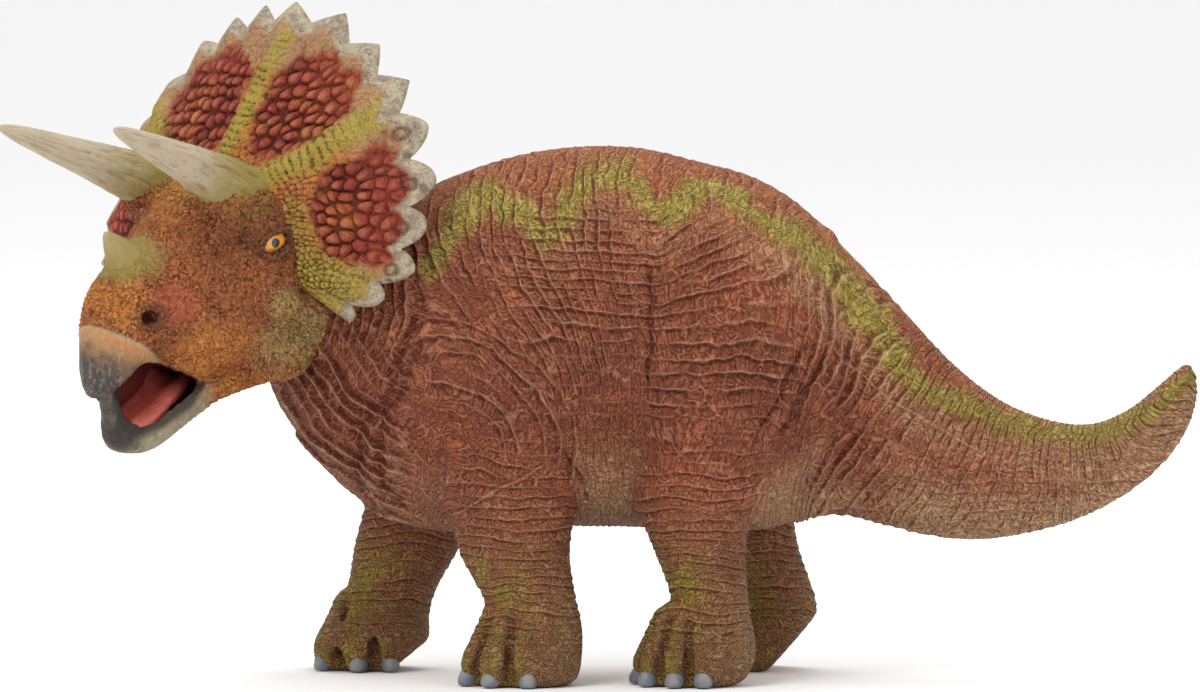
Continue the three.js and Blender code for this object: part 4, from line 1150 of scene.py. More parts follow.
def head_fields(block):
    """The distances to the face, to the lower jaw and to the hollow of the mouth."""
    face = block.solid(*oval_skin(*head_sections(SKULL_SHARES), SKULL_POWER, 64))
    jaw = block.solid(*oval_skin(*head_sections(JAW_SHARES), SKULL_POWER, 48))
    x, y, z = block.grid()
    for side in (-1, 1):
        face = melt(face, block.rod((-9, side * 14, 6.5), (8, side * 11, 7), 3.6, 2.8), 3.5)
        face = melt(face, block.rod((-3, side * 8.2, 4.6), (8.5, side * 10.3, 10.4), 6.6, 5.2), 2.6)
        face = melt(face, block.ball((0.0, side * 15.2, -0.2), (6.4, 3.2, 4.6)), 2.0)
        face = melt(face, block.ball((-1.8, side * 17.4, -12.4), (4.2, 3.0, 3.0)), 1.0)
        face = melt(face, block.ball((23.5, side * 5.8, -13.8), (4.8, 2.8, 3.8)), 2.0)
        face = melt(face, block.ball((-14, side * 15.5, -15), (6, 4, 6)), 3.0)
        face = melt(face, block.ball((-8, side * 10.5, -21.5), (9.5, 6.0, 6.5)), 3.5)
        nostril = block.ball((26.7, side * 7.5, -14.5), (1.75, 3.4, 1.45), -side * 0.5)
        face = carve(face, nostril, 0.9)
        jaw = melt(jaw, block.rod((14, side * 8.6, -30.0), (25, side * 5.2, -36.4), 1.15, 1.0), 0.9)
    face = melt(face, block.rod((2, 0, 9), (22, 0, -5), 5, 4), 4)
    face = melt(face, block.rod(*NOSE_MOUND, 6.4, 4.4), 2.5)
    almond = np.maximum(eye_gap(x, z), 14.6 - np.abs(y))
    face = carve(face, almond, 0.5)
    mouth = block.solid(*oval_skin(*head_sections(MOUTH_SHARES), MOUTH_POWER, 40))
    face = carve(face, mouth, 0.9)
    jaw = carve(jaw, mouth, 0.9)
    for side in (-1, 1):
        jaw = carve(jaw, block.rod((25.5, side * 5.6, -32.2), (33, side * 6.0, -30.8), 3.5), 0.7)
    jaw = melt(jaw, block.rod((29.6, -1.2, -31.2), (29.8, 0.2, -29.4), 1.5, 1.2), 0.8)
    palate = block.ball((20.5, -4.2, -27.5), (10.5, 1.5, 6.2))
    return melt(face, palate, 1.2), jaw, mouth


def head_relief(points, jaw_share):
    """The head's sculpted grain, from 0 to 1, its beak, the beak's seam and the dark round the eye."""
    x, y, z = points.T
    beside = np.abs(y)
    spots = np.stack([x, beside, z], 1)
    warp = spots + 0.5 * np.stack([noise(spots / 1.6, 301), noise(spots / 1.6, 302),
                                   noise(spots / 1.6, 303)], 1)
    near, following, _ = cells(warp / 1.05, 311)
    pebble = rise(following - near, 0.03, 0.42)
    near, following, _ = cells(warp / 2.1, 321)
    scale = rise(following - near, 0.02, 0.3)
    worm = np.abs(noise(warp * np.array([0.55, 1.0, 1.25]), 331))
    run_x, run_z = np.subtract(BEAK_LINE_FRONT, BEAK_LINE_BACK)
    line = ((z - BEAK_LINE_BACK[1]) * run_x - (x - BEAK_LINE_BACK[0]) * run_z) / math.hypot(run_x, run_z)
    beak = rise(line, 0.6, -0.6) * rise(x, 20.5, 22.5) * (1 - jaw_share)
    smooth = np.maximum(beak, jaw_share * rise(x, 10, 20))
    cheek = rise(np.hypot((x - 10) / 9, (z + 21) / 6.5), 1.3, 0.7)
    rough = (1 - smooth) * (1 - 0.6 * cheek)
    relief = 0.45 * pebble + 0.3 * rise(worm, 0.02, 0.3) + 0.25 * scale
    relief = RELIEF_LEVEL + (relief - RELIEF_LEVEL) * (0.15 + 0.85 * rough)
    streak = noise(np.stack([x * 1.3, beside * 1.3, z * 0.25], 1), 341)
    relief = relief + 0.16 * smooth * streak
    around = eye_gap(x, z)
    on_side = rise(beside, 12, 14)
    lid = on_side * np.exp(-((around - 0.75) / 0.42) ** 2)
    crease = on_side * np.exp(-((around - 1.65) / 0.33) ** 2) * 0.8
    fold = on_side * (0.5 + 0.5 * np.sin(around * 2 * math.pi / 1.5))
    fold = fold * rise(around, 5, 1.5) * rise(around, 0.9, 1.6)
    seam = np.exp(-(line / 0.32) ** 2) * rise(x, 20.5, 22.5) * (1 - jaw_share)
    relief = np.clip(relief + 0.35 * lid - 0.6 * crease + 0.15 * fold + 0.3 * seam, 0, 1)
    return relief, beak, seam, on_side * rise(around, 2.4, 0.3)


def face_paint(colours):
    """The face: red brown with orange and tan patches, a dark beak and a dark mouth."""
    paint = Paint("dinosaur_face")
    relief = paint.held("relief")
    pink, nose, jaw = paint.held_three("zones_d")
    beak, tip, seam = paint.held_three("zones_a")
    orange, tan, dark = paint.held_three("zones_b")
    mouth, lip, yellow = paint.held_three("zones_c")
    broad, patchy, fine = paint.grain(160, 3), paint.grain(420, 4, 0.6), paint.grain(2400, 4, 0.65)
    wrinkle, stroke = paint.grain(1300, 3, 0.6, 2.0), paint.grain(400, 2, 0.5, 1.6) * 4.5
    pebble = paint.net(paint.place(), 780, 0.0014)
    rough = (1 - beak) * (1 - mouth) * (1 - 0.6 * nose)
    # Cracks: strokes, wrinkle hollows and pebble seams, darkened with painted shade below
    cracks = stroke.pingpong(0.5).rise(0.12, 0.03) * patchy.rise(0.62, 0.46)
    cracks = cracks.largest(wrinkle.rise(0.44, 0.35) * 0.7)
    cracks = cracks.largest(pebble.rise(0.11, 0.03) * patchy.rise(0.46, 0.62) * 0.85)
    cracks = cracks * rough * (1 - 0.6 * pink)
    # Sparks: the raised wrinkle and pebble tops, lightened with painted highlight below
    sparks = (stroke + 0.18).pingpong(0.5).rise(0.14, 0.04) * patchy.rise(0.62, 0.46)
    sparks = sparks.largest(wrinkle.rise(0.58, 0.68) * 0.8)
    sparks = sparks.largest(pebble.rise(0.22, 0.4) * patchy.rise(0.5, 0.66) * 0.5) * rough
    colour = paint.mix(broad.rise(0.35, 0.65), colours.face, darker(colours.face, 0.75))
    colour = paint.mix((orange * (0.35 + 0.8 * patchy)).clamp(), colour, colours.face_orange)
    colour = paint.mix((pink * (0.5 + 0.6 * patchy)).clamp(), colour, colours.blush)
    colour = paint.mix((yellow * (0.2 + 0.9 * patchy)).clamp(), colour, colours.frill_yellow)
    colour = paint.mix((tan * (0.3 + 0.8 * patchy)).clamp(), colour, colours.face_tan)
    colour = paint.mix((nose * (0.6 + 0.6 * patchy)).clamp(), colour, colours.horn_olive)
    colour = paint.mix(dark * (0.5 + 0.45 * patchy), colour, colours.umber)
    # Painted shade in the cracks and the low relief, together with the wash
    shade = cracks + relief.rise(0.45, 0.15) * rough * 0.35
    colour = paint.mix((shade * (0.45 + 0.9 * patchy)).clamp(), colour,
                       paint.mix(1.0, colour, darker(colours.wash_and_shade, 0.75), "MULTIPLY"))
    # Painted highlight on the sparks and the raised relief, together with the dry brush
    light = sparks * 0.75 + relief.rise(0.66, 0.95) * 0.4
    colour = paint.mix((light * (0.2 + 0.9 * patchy)).clamp(), colour,
                       paint.mix(0.45, colour, colours.brush, "SCREEN"))
    streaks = paint.mix(patchy.rise(0.4, 0.6) * 0.5, colours.beak_tan, colours.face_orange)
    streaks = paint.mix(jaw, streaks, colours.jaw_tan)
    horny = paint.mix((tip + 0.7 * (patchy - 0.5)).rise(0.1, 0.9), streaks, colours.beak_dark)
    horny = paint.mix(relief.rise(0.6, 0.74) * 0.25 + fine.rise(0.5, 0.7) * 0.25, horny, colours.bone)
    colour = paint.mix(beak, colour, horny)
    colour = paint.mix(seam * 0.5, colour, colours.bone)
    colour = paint.mix(lip * 0.9, colour, colours.lip)
    colour = paint.mix(mouth, colour, colours.gullet)
    roughness = 0.58 + 0.14 * fine - 0.12 * beak
    height = relief * 0.2 - cracks * 0.6 + sparks * 0.35 + fine * 0.25
    return paint.finish(colour, roughness, height, 0.42, specular_ior_level=0.18)


def build_head(sizes, colours):
    """The face and the lower jaw as one sculpted skin, parted into their two pieces."""
    step = sizes.head_step / MM * HEAD_COARSER
    block = Block((-26, -24, -45), (41, 24, 20), step)
    face, jaw, mouth = head_fields(block)
    whole = melt(face, jaw, 0.8)
    points, faces = block.skin(whole)
    points, faces = refined(relaxed(points, faces, 2, 0.3), faces)
    normals = vertex_normals(points, faces)
    face_gap, jaw_gap = block.at(face, points), block.at(jaw, points)
    jaw_share = rise(face_gap - jaw_gap, -0.4, 0.4)
    mouth_gap = block.at(mouth, points)
    inside = rise(mouth_gap, 0.55, 0.1)
    relief, beak, seam, eye_dark = head_relief(points, jaw_share)
    x, y, z = points.T
    beside = np.abs(y)
    wander = noise(points / 5, 401) * 2.2
    lip = rise(mouth_gap, 1.0 + 1.5 * jaw_share, 0.4 + 1.1 * jaw_share) * rise(x, 8, 12) * (1 - inside)
    tip = np.clip(0.052 * x - 0.086 * z - 3.06 + 0.05 * wander, 0, 1) * (1 - jaw_share)
    jaw_grey = jaw_share * rise(x + wander, 9, 16)
    tip = np.maximum(tip, jaw_share * (0.3 + 0.45 * rise(x + wander, 22, 31)))
    orange = np.maximum(rise(np.hypot((x - 31) / 6, (z + 12 + wander) / 6), 1.2, 0.5),
                        rise(beside + wander, 7, 3) * rise(x, 2, 8) * rise(x, 24, 16) * 0.6)
    orange = np.maximum(orange, rise(np.hypot((x - 13) / 9, (z + 21 + wander) / 7), 1.2, 0.5) * 0.9)
    orange = np.maximum(orange, rise(z + 0.5 * wander, -24, -28) * rise(x, 16, 8) * 0.8)
    tan = rise(np.hypot((x + 8 + 1.5 * wander) / 12, (z + 19 + wander) / 8), 1.25, 0.4) * rise(beside, 8, 12)
    tan = np.maximum(tan, rise(np.hypot((x + 1.8) / 5, (z + 12.4) / 4), 1.2, 0.6) * rise(beside, 12, 14))
    dark = eye_dark * 0.95
    dark = np.maximum(dark, rise(np.hypot((x - 1 + wander) / 13, (z - 1 + wander) / 8), 1.1, 0.4) * 0.55)
    nostril = rise(np.hypot((x - 26.7) / 3.0, (z + 14.5) / 2.6), 1.6, 0.7)
    dark = np.maximum(dark, nostril * rise(beside, 3, 5) * 0.85)
    pink = rise(np.hypot((x - 22) / 6, (z + 12 + 0.6 * wander) / 5), 1.2, 0.5) * rise(beside, 4, 7)
    yellow = rise(np.hypot((x + 13) / 7, (z + 3 + wander) / 6), 1.2, 0.5)
    run = np.subtract(NOSE_MOUND[1], NOSE_MOUND[0])
    share = np.clip((points - NOSE_MOUND[0]) @ run / (run @ run), 0, 1.5)
    off_mound = np.linalg.norm(points - NOSE_MOUND[0] - share[:, None] * run, axis=1)
    nose = rise(off_mound + 0.7 * wander, 9.2, 4.8)
    yellow = np.maximum(yellow, 0.5 * rise(np.hypot(x - 6, z - 9.5) + wander, 8, 4))
    relief = RELIEF_LEVEL + (relief - RELIEF_LEVEL) * (1 - 0.6 * nose)
    height = (relief - RELIEF_LEVEL) * sizes.head_grain_depth / MM * 2.2 * (1 - inside)
    points = points + normals * height[:, None]
    normals = vertex_normals(points, faces)
    attributes = {
        "relief": relief,
        "zones_a": np.stack([np.maximum(beak, jaw_grey), tip, seam], 1),
        "zones_b": np.stack([orange, tan, dark], 1),
        "zones_c": np.stack([inside, lip, yellow], 1),
        "zones_d": np.stack([pink, nose, jaw_share], 1),
    }
    facing = head_to_figure(points + normals) - head_to_figure(points)
    points = head_to_figure(points)
    labels = (jaw_gap[faces].mean(1) < face_gap[faces].mean(1)).astype(int)
    labels = tidy_labels(labels, faces, len(points))
    material = face_paint(colours)
    for label, node, slot in ((0, "skull", "face"), (1, "lower_jaw", "jaw")):
        spots, parts, turned, values = part_of_skin(labels == label, points, faces, facing, attributes)
        place_piece(f"{node}_skin", spots, parts, [node], material, values, turned)


def build_tongue(colours):
    """The tongue, a scoop with raised edges."""
    block = Block((6, -10, -42), (31, 10, -18), 0.34)
    body = block.solid(*oval_skin(*head_sections(TONGUE_SHARES), MOUTH_POWER, 48))
    _, y, z = block.grid()
    centre = np.interp(block.axes[0], [11, 17, 21, 25, 27.5], [-23.6, -26.0, -28.8, -31.2, -32.2])
    hollow = np.hypot(np.abs(y) / 1.15, z - centre[:, None, None] - 0.2) - 3.0
    body = carve(body, hollow, 0.8)
    points, faces = block.skin(body)
    points, faces = refined(relaxed(points, faces, 3, 0.4), faces)
    normals = vertex_normals(points, faces)
    grain = noise(points / 0.7, 501)
    points = points + normals * (0.09 * grain)[:, None]
    points[:, 2] += np.where(points[:, 1] < 0, -0.75, -0.25) * points[:, 1] * rise(points[:, 0], 9, 15)
    points[:, 1] *= np.where(points[:, 1] < 0, 1.15, 1.1)
    points[:, 0] += np.minimum(points[:, 1], 0) * rise(points[:, 0], 14, 22)
    paint = Paint("dinosaur_tongue")
    patchy, fine = paint.grain(420, 3), paint.grain(2600, 3)
    deep = paint.held("deep")
    colour = paint.mix(patchy.rise(0.35, 0.7) * 0.6, colours.tongue, darker(colours.tongue, 0.6))
    # Painted shade: the tongue darkens towards the back of the mouth
    colour = paint.mix(deep, colour, srgb(96, 30, 30))
    paint.finish(colour, 0.36 + 0.2 * fine, fine, 0.1, coat_weight=0.25, coat_roughness=0.25)
    # Deep: the back of the tongue, where the shade is painted
    deep = rise(points[:, 0], 19, 12)
    place_piece("tongue_scoop", head_to_figure(points), [faces], ["tongue"], paint.material,
                {"deep": deep})


# Frill

# The pebbled panels: the middle angle and radius, the half angle and the half depth
PANELS = [
    (-27, 26.5, 22, 11), (28, 27, 19, 10.5), (82, 32, 21, 9.5), (-83, 32, 22, 9.5),
]

# The ridges between them: the angle and the half width
RIDGES = [(4.5, 3.6), (53, 5.0), (-53, 5.0)]

PANEL_POWER = 2.6  # how square a panel is
FRILL_WIDEST, FRILL_INNER = 123.0, 9.0  # the last angle and the radius where the fan starts
RIM_CROWDING = 1.25  # how much closer the rows lie towards the rim
RIM_ROUNDING, END_ROUNDING = 14, 40  # how late the fan thins towards its rim and its two ends


def frill_forward(across, high):
    """How far forward the frill's middle surface lies."""
    above = high - FRILL_FOLD_HIGH
    fold = np.hypot(above, FRILL_FOLD_SOFTNESS) - FRILL_FOLD_SOFTNESS
    lean = np.where(above > 0, FRILL_LEAN, FRILL_LOWER_LEAN)
    sweep = FRILL_SWEEP_RADIUS - np.sqrt(FRILL_SWEEP_RADIUS**2 - across**2)
    gain = 1 + FRILL_SWEEP_GAIN * np.minimum(above, 0) / FRILL_REACH
    return FRILL_CENTRE_FORWARD - lean * fold - sweep * gain


def frill_rim(degrees):
    """The rim's reach at each angle, and where it stands on its spike from 0 to 1."""
    angles, shares = np.array(FRILL_TIPS).T
    nearest = np.interp(degrees, angles, np.arange(len(angles)))
    level = np.interp(degrees, angles, shares) * FRILL_REACH
    part = np.abs(nearest - np.round(nearest)) * 2
    spike = 1 - part ** (1.02 + 1.1 * rise(degrees, 45, 75))
    return level - (1 - spike) * FRILL_SPIKE_DEPTH * 1.05, spike


def frill_relief(degrees, radius, across, high, share, spike):
    """The frill's pebbles, ridges and ribs: their height in millimetres, their relief and zones."""
    spots = np.stack([across, high, across * 0], 1)
    wander = noise(spots / 6, 601)
    panel = np.zeros(len(degrees))
    for angle, middle, half_angle, half_deep in PANELS:
        gap = (np.abs((degrees - angle) / half_angle) ** PANEL_POWER
               + np.abs((radius - middle) / half_deep) ** PANEL_POWER) ** (1 / PANEL_POWER)
        panel = np.maximum(panel, rise(gap + 0.24 * wander, 1.24, 0.76))
    ridge = np.zeros(len(degrees))
    for angle, half in RIDGES:
        gap = np.radians(degrees - angle - 2 * wander) * radius
        ridge = np.maximum(ridge, np.exp(-(gap / half * 1.3) ** 2))
    ridge *= rise(radius, 44, 38)
    near, following, owner = cells(spots / 2.5, 611, 0.72, True)
    pebble = rise(following - near, 0.08, 0.36) * (0.7 + 0.3 * owner)
    dome = np.clip(1 - (near / 0.56) ** 2, 0, 1)
    pebble = pebble * (0.3 + 0.7 * np.sqrt(dome))
    near, following, _ = cells(spots / 1.15, 621, 0.85, True)
    small = rise(following - near, 0.04, 0.4)
    rays = folds(np.radians(degrees) * 34, radius, 1.25, 6, 631, 1.2)
    ribs = folds(radius, degrees, 1.5, 14, 641, 1.2)
    outer = rise(radius, 32, 38)
    fine = (0.5 * small + 0.5 * rays) * outer + (0.65 * small + 0.35 * ribs) * (1 - outer)
    on_ridge = rise(ridge, 0.25, 0.7)
    fine += (0.2 * small + 0.8 * ribs - fine) * on_ridge
    relief = panel * pebble + (1 - panel) * fine
    edge = np.maximum(rise(share, 0.84, 0.97), 0.3 * rise(share + 0.03 * wander, 0.6, 0.8))
    relief = relief * (1 - edge) + edge * (0.75 + 0.25 * noise(spots / 0.8, 651))
    height = (panel * (pebble - 0.45) * 1.5 + (1 - panel) * (fine - 0.5) * 0.95) * (1 - edge)
    large = 2.2 * ridge - 0.6 * panel + 0.3 * wander
    tooth = rise(share, 0.70, 0.9) * (spike - 0.35) * 1.5
    lobe = 0.8 * rise(np.abs(degrees) + 2 * wander, 98, 106) * rise(radius, 40, 35)
    return height, large + tooth, relief, panel, np.maximum(ridge, lobe), edge


def frill_paint(colours):
    """The frill: red pebbled panels, yellow-green ridges and bone spikes."""
    paint = Paint("dinosaur_frill")
    relief = paint.held("relief")
    panel, ridge, edge = paint.held_three("zones_a")
    orange, pit, back = paint.held_three("zones_b")
    broad, patchy, fine = paint.grain(150, 3), paint.grain(520, 4, 0.6), paint.grain(2300, 4, 0.65)
    wrinkle = paint.grain(1500, 3, 0.6, 1.8)
    # Wrinkle hollows get painted shade and wrinkle tops painted highlight
    cracks, sparks = wrinkle.rise(0.46, 0.36), wrinkle.rise(0.58, 0.68)
    colour = paint.mix(broad.rise(0.42, 0.62) * 0.6, colours.face, colours.frill_yellow)
    rim_tan = darker(colours.pale, 0.72)
    colour = paint.mix((edge.rise(0.0, 0.25) * (0.45 + 0.8 * patchy)).clamp(), colour, rim_tan)
    colour = paint.mix(orange * (0.4 + 0.6 * patchy), colour, colours.face_orange)
    red = paint.mix(orange * 0.4 + broad.rise(0.55, 0.7) * 0.3, colours.frill_red, colours.face_orange)
    red = paint.mix(broad.rise(0.5, 0.35) * 0.6, red, darker(colours.frill_red, 0.5))
    colour = paint.mix((panel + 0.5 * (patchy - 0.5)).rise(0.2, 0.8), colour, red)
    colour = paint.mix((ridge + 1.3 * (patchy - 0.5)).rise(0.25, 0.95) * 0.9, colour, colours.frill_yellow)
    colour = paint.mix(back, colour, colours.brick_deep)
    bone = paint.mix(patchy.rise(0.35, 0.65), colours.bone, darker(colours.bone, 0.55))
    colour = paint.mix(edge.rise(0.35, 0.9), colour, bone)
    # Painted shade in the low relief and the cracks, together with the wash
    shade = relief.rise(0.42, 0.1) * 0.8 + cracks * 0.45
    colour = paint.mix((shade * (0.6 + 0.7 * patchy)).clamp(), colour,
                       paint.mix(1.0, colour, darker(colours.wash_and_shade, 0.6), "MULTIPLY"))
    # Painted highlight on the raised relief and the sparks, together with the dry brush
    light = relief.rise(0.6, 0.95) * 0.6 + sparks * 0.35
    colour = paint.mix((light * (0.2 + 0.9 * patchy)).clamp(), colour,
                       paint.mix(0.4, colour, colours.brush, "SCREEN"))
    colour = paint.mix(pit, colour, colours.umber)
    height = relief * 0.3 - cracks * 0.4 + sparks * 0.2 + fine * 0.3
    return paint.finish(colour, 0.6 + 0.12 * fine, height, 0.3, specular_ior_level=0.18)


def build_frill(sizes, colours):
    """The fan behind the head: a front and a back that meet round the rim."""
    columns, rows, back_rows = ((600, 96, 40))
    degrees = np.linspace(-FRILL_WIDEST, FRILL_WIDEST, columns)
    reach, spike = frill_rim(degrees)

    def sheet(share, side):
        turn = np.radians(degrees)[:, None]
        radius = FRILL_INNER + (reach[:, None] - FRILL_INNER) * share[None, :]
        across, high = radius * np.sin(turn), FRILL_CENTRE_HIGH + radius * np.cos(turn)
        half = (FRILL_THICKNESS + (FRILL_RIM_THICKNESS - FRILL_THICKNESS) * share[None, :]) / 2
        ends = np.sqrt(np.clip(1 - (np.abs(degrees) / FRILL_WIDEST) ** END_ROUNDING, 0, 1))[:, None]
        rim = np.sqrt(np.clip(1 - share**RIM_ROUNDING, 0, 1))[None, :]
        wide = np.broadcast_to(degrees[:, None], radius.shape)
        fields = [np.ascontiguousarray(f).ravel() for f in (
            wide, radius, across, high, np.broadcast_to(share, radius.shape),
            np.broadcast_to(spike[:, None], radius.shape))]
        height, large, relief, panel, ridge, edge = frill_relief(*fields)
        fade = (rim * ends).ravel()
        lift = (half * rim * ends).ravel() + large * fade * (1.0 if side > 0 else 0.4)
        bumps = height * fade * sizes.pebble_depth / MM * (2 if side > 0 else 0.8)
        forward = frill_forward(fields[2], fields[3]) + side * (np.maximum(lift, 0.02) + bumps)
        spots = np.stack([forward, fields[2], fields[3]], 1)
        return spots, relief, panel * (side > 0), ridge * (side > 0), edge, fields

    share = 1 - (1 - np.linspace(0, 1, rows)) ** RIM_CROWDING
    back_share = 1 - (1 - np.linspace(0, 1, back_rows)) ** RIM_CROWDING
    front, back = sheet(share, 1), sheet(back_share, -1)
    front_at = np.arange(columns * rows).reshape(columns, rows)
    back_at = np.arange(columns * back_rows).reshape(columns, back_rows) + columns * rows
    back_at[:, -1] = front_at[:, -1]
    faces = []
    a, b, c, d = front_at[:-1, :-1], front_at[:-1, 1:], front_at[1:, 1:], front_at[1:, :-1]
    faces.append(np.stack([a, b, c, d], 2).reshape(-1, 4))
    a, b, c, d = back_at[:-1, :-1], back_at[1:, :-1], back_at[1:, 1:], back_at[:-1, 1:]
    faces.append(np.stack([a, b, c, d], 2).reshape(-1, 4))
    faces.append(np.stack([front_at[:-1, 0], front_at[1:, 0], back_at[1:, 0], back_at[:-1, 0]], 1))
    points = np.vstack([front[0], back[0]])
    ends = []
    for column, flip in ((0, False), (-1, True)):
        ring = np.concatenate([front_at[column], back_at[column][::-1][1:]])
        middle = len(points)
        points = np.vstack([points, points[ring].mean(0)])
        pairs = np.stack([ring, np.roll(ring, -1), np.full(len(ring), middle)], 1)
        ends.append(pairs[:, [1, 0, 2]] if flip else pairs)

    def both(index):
        return np.concatenate([front[index], back[index], [0, 0]])

    fields = [np.concatenate([f, b, [0, 0]]) for f, b in zip(front[5], back[5])]
    spots = np.stack([fields[2], fields[3], fields[2] * 0], 1)
    orange = rise(noise(spots / 6, 661), -0.15, 0.45) * rise(fields[1], 38, 20)
    pricks = np.stack([fields[0] / 9, fields[1] / 4, fields[0] * 0], 1)
    near, _, owner = cells(pricks, 671, 0.7, True)
    pit = rise(near, 0.2, 0.1) * (owner > 0.7) * rise(fields[4], 0.8, 0.86) * (fields[0] > 40) * 0.7
    for angle, reach_share in FRILL_RINGED_TIPS:
        turn, high = math.radians(angle), reach_share * FRILL_REACH - 3.3
        ring = np.hypot(fields[2] - high * math.sin(turn),
                        fields[3] - FRILL_CENTRE_HIGH - high * math.cos(turn))
        pit = np.maximum(pit, rise(np.abs(ring - 1.1), 0.65, 0.2) * 0.8)
    is_back = np.concatenate([np.zeros(len(front[0])), np.ones(len(back[0])), [0, 0]])
    attributes = {"relief": both(1), "zones_a": np.stack([both(2), both(3), both(4)], 1),
                  "zones_b": np.stack([orange, pit * 0.8, is_back * rise(fields[4], 0.9, 0.8)], 1)}
    used = np.unique(np.concatenate([f.ravel() for f in faces + ends]))
    place = np.full(len(points), -1)
    place[used] = np.arange(len(used))
    place_piece("frill_fan", head_to_figure(points[used]), [place[f] for f in faces + ends], ["frill"],
                frill_paint(colours), {k: v[used] for k, v in attributes.items()})


# Horns

def horn_curve(table, count):
    """Places along a horn: a smooth curve through its base, middle and tip."""
    rows = np.array(table, float) * (SKULL_LENGTH, SKULL_WIDTH, SKULL_HEIGHT)
    rows = np.vstack([2 * rows[0] - rows[1], rows, 2 * rows[-1] - rows[-2]])
    place = np.linspace(0, 1, count)
    gaps = [np.sqrt(np.linalg.norm(rows[k + 1] - rows[k])) for k in range(4)]
    knots = np.concatenate([[0], np.cumsum(gaps)])
    result = []
    for share in place:
        first = min(int(share * 2), 1)
        t = knots[first + 1] + (share * 2 - first) * (knots[first + 2] - knots[first + 1])
        held = [rows[first + k] for k in range(4)]
        for level in range(1, 4):
            held = [((knots[first + k + level] - t) * held[k] + (t - knots[first + k]) * held[k + 1])
                    / (knots[first + k + level] - knots[first + k]) for k in range(4 - level)]
        result.append(held[0])
    return np.array(result)


def horn_skin(table, radius, radius_shares, side, seed):
    """A horn with lengthwise ribs: its points, faces and relief."""
    rings, sides = 150, 72
    middles = horn_curve(table, rings)
    middles[:, 1] *= side
    along = np.gradient(middles, axis=0)
    along /= np.linalg.norm(along, axis=1, keepdims=True)
    across = np.array([0, 1.0, 0]) - along * along[:, 1:2]
    across /= np.linalg.norm(across, axis=1, keepdims=True)
    up = np.cross(along, across)
    share = np.linspace(0, 1, rings)
    reach = radius * np.interp(share, np.linspace(0, 1, len(radius_shares)), radius_shares)
    window = 13  # over how many rings the radius is evened out
    reach = np.convolve(np.pad(reach, window // 2, mode="edge"), np.ones(window) / window, "valid")
    reach *= np.sqrt(np.clip(1 - share**30, 0.0004, 1))
    turn = np.arange(sides) / sides * 2 * np.pi
    ring, lane = np.repeat(share, sides), np.tile(turn, rings)
    distance = ring * np.linalg.norm(np.diff(middles, axis=0), axis=1).sum()
    place = np.stack([np.cos(lane) * 3.2, np.sin(lane) * 3.2, distance / 9], 1)
    ribs = noise(place * 1.6, seed)
    fine = noise(np.stack([np.cos(lane) * 9, np.sin(lane) * 9, distance / 2.2], 1), seed + 1)
    relief = np.clip(0.5 + 0.5 * ribs + 0.25 * fine, 0, 1)
    sizes = np.repeat(reach, sides) * (1 + 0.05 * ribs + 0.02 * fine)
    points = (np.repeat(middles, sides, 0) + np.repeat(across, sides, 0) * (np.cos(lane) * sizes)[:, None]
              + np.repeat(up, sides, 0) * (np.sin(lane) * sizes)[:, None])
    points = np.vstack([points, middles[:1], middles[-1:]])
    relief = np.concatenate([relief, [0.5, 0.5]])
    return points, list(ring_faces(rings, sides)), relief, np.concatenate([ring, [0, 1]])


def horn_paint(colours):
    """The horns: bone with olive roots, dark lengthwise lines of wash and painted shade between their ribs,
    and painted highlight on the ribs.
    """
    paint = Paint("dinosaur_horn")
    relief, share = paint.held("relief"), paint.held("share")
    patchy, fine = paint.grain(380, 4, 0.6), paint.grain(1900, 4, 0.65)
    wrinkle = paint.grain(1100, 3, 0.6, 1.0)
    colour = paint.mix((share + 0.3 * (patchy - 0.5)).rise(0.62, 0.24), colours.bone, colours.horn_olive)
    colour = paint.mix((share + 0.3 * (patchy - 0.5)).rise(0.14, 0.0) * 0.7, colour, colours.face)
    # Painted shade between the ribs and in the wrinkles, together with the wash
    shade = relief.rise(0.5, 0.15) * 0.5 + wrinkle.rise(0.43, 0.34) * 0.25
    colour = paint.mix((shade * (0.4 + 0.8 * patchy)).clamp(), colour,
                       paint.mix(1.0, colour, colours.wash_and_shade, "MULTIPLY"))
    # Painted highlight on the ribs, together with the dry brush
    light = relief.rise(0.6, 0.95) * (0.3 + 0.4 * fine)
    colour = paint.mix(light, colour, paint.mix(0.35, colour, colours.brush, "SCREEN"))
    return paint.finish(colour, 0.55 + 0.15 * fine, wrinkle * 0.6 + fine * 0.4 + patchy * 0.4, 0.2,
                        specular_ior_level=0.25)


def build_horns(colours):
    """The two brow horns and the nose horn."""
    material = horn_paint(colours)
    for node, table, radius, shares, side, seed in (
            ("brow_horn_left", BROW_HORN_SHARES, BROW_HORN_RADIUS, BROW_HORN_RADIUS_SHARES, 1, 701),
            ("brow_horn_right", BROW_HORN_SHARES, BROW_HORN_RADIUS, BROW_HORN_RADIUS_SHARES, -1, 711),
            ("nose_horn", NOSE_HORN_SHARES, NOSE_HORN_RADIUS, NOSE_HORN_RADIUS_SHARES, 1, 721)):
        points, faces, relief, share = horn_skin(table, radius, shares, side, seed)
        if node == "nose_horn":
            share, relief = 0.16 + 0.22 * share, 0.4 + 0.25 * relief
        place_piece(f"{node}_bone", head_to_figure(points), faces, [node], material,
                    {"relief": relief, "share": share})


# Eyes

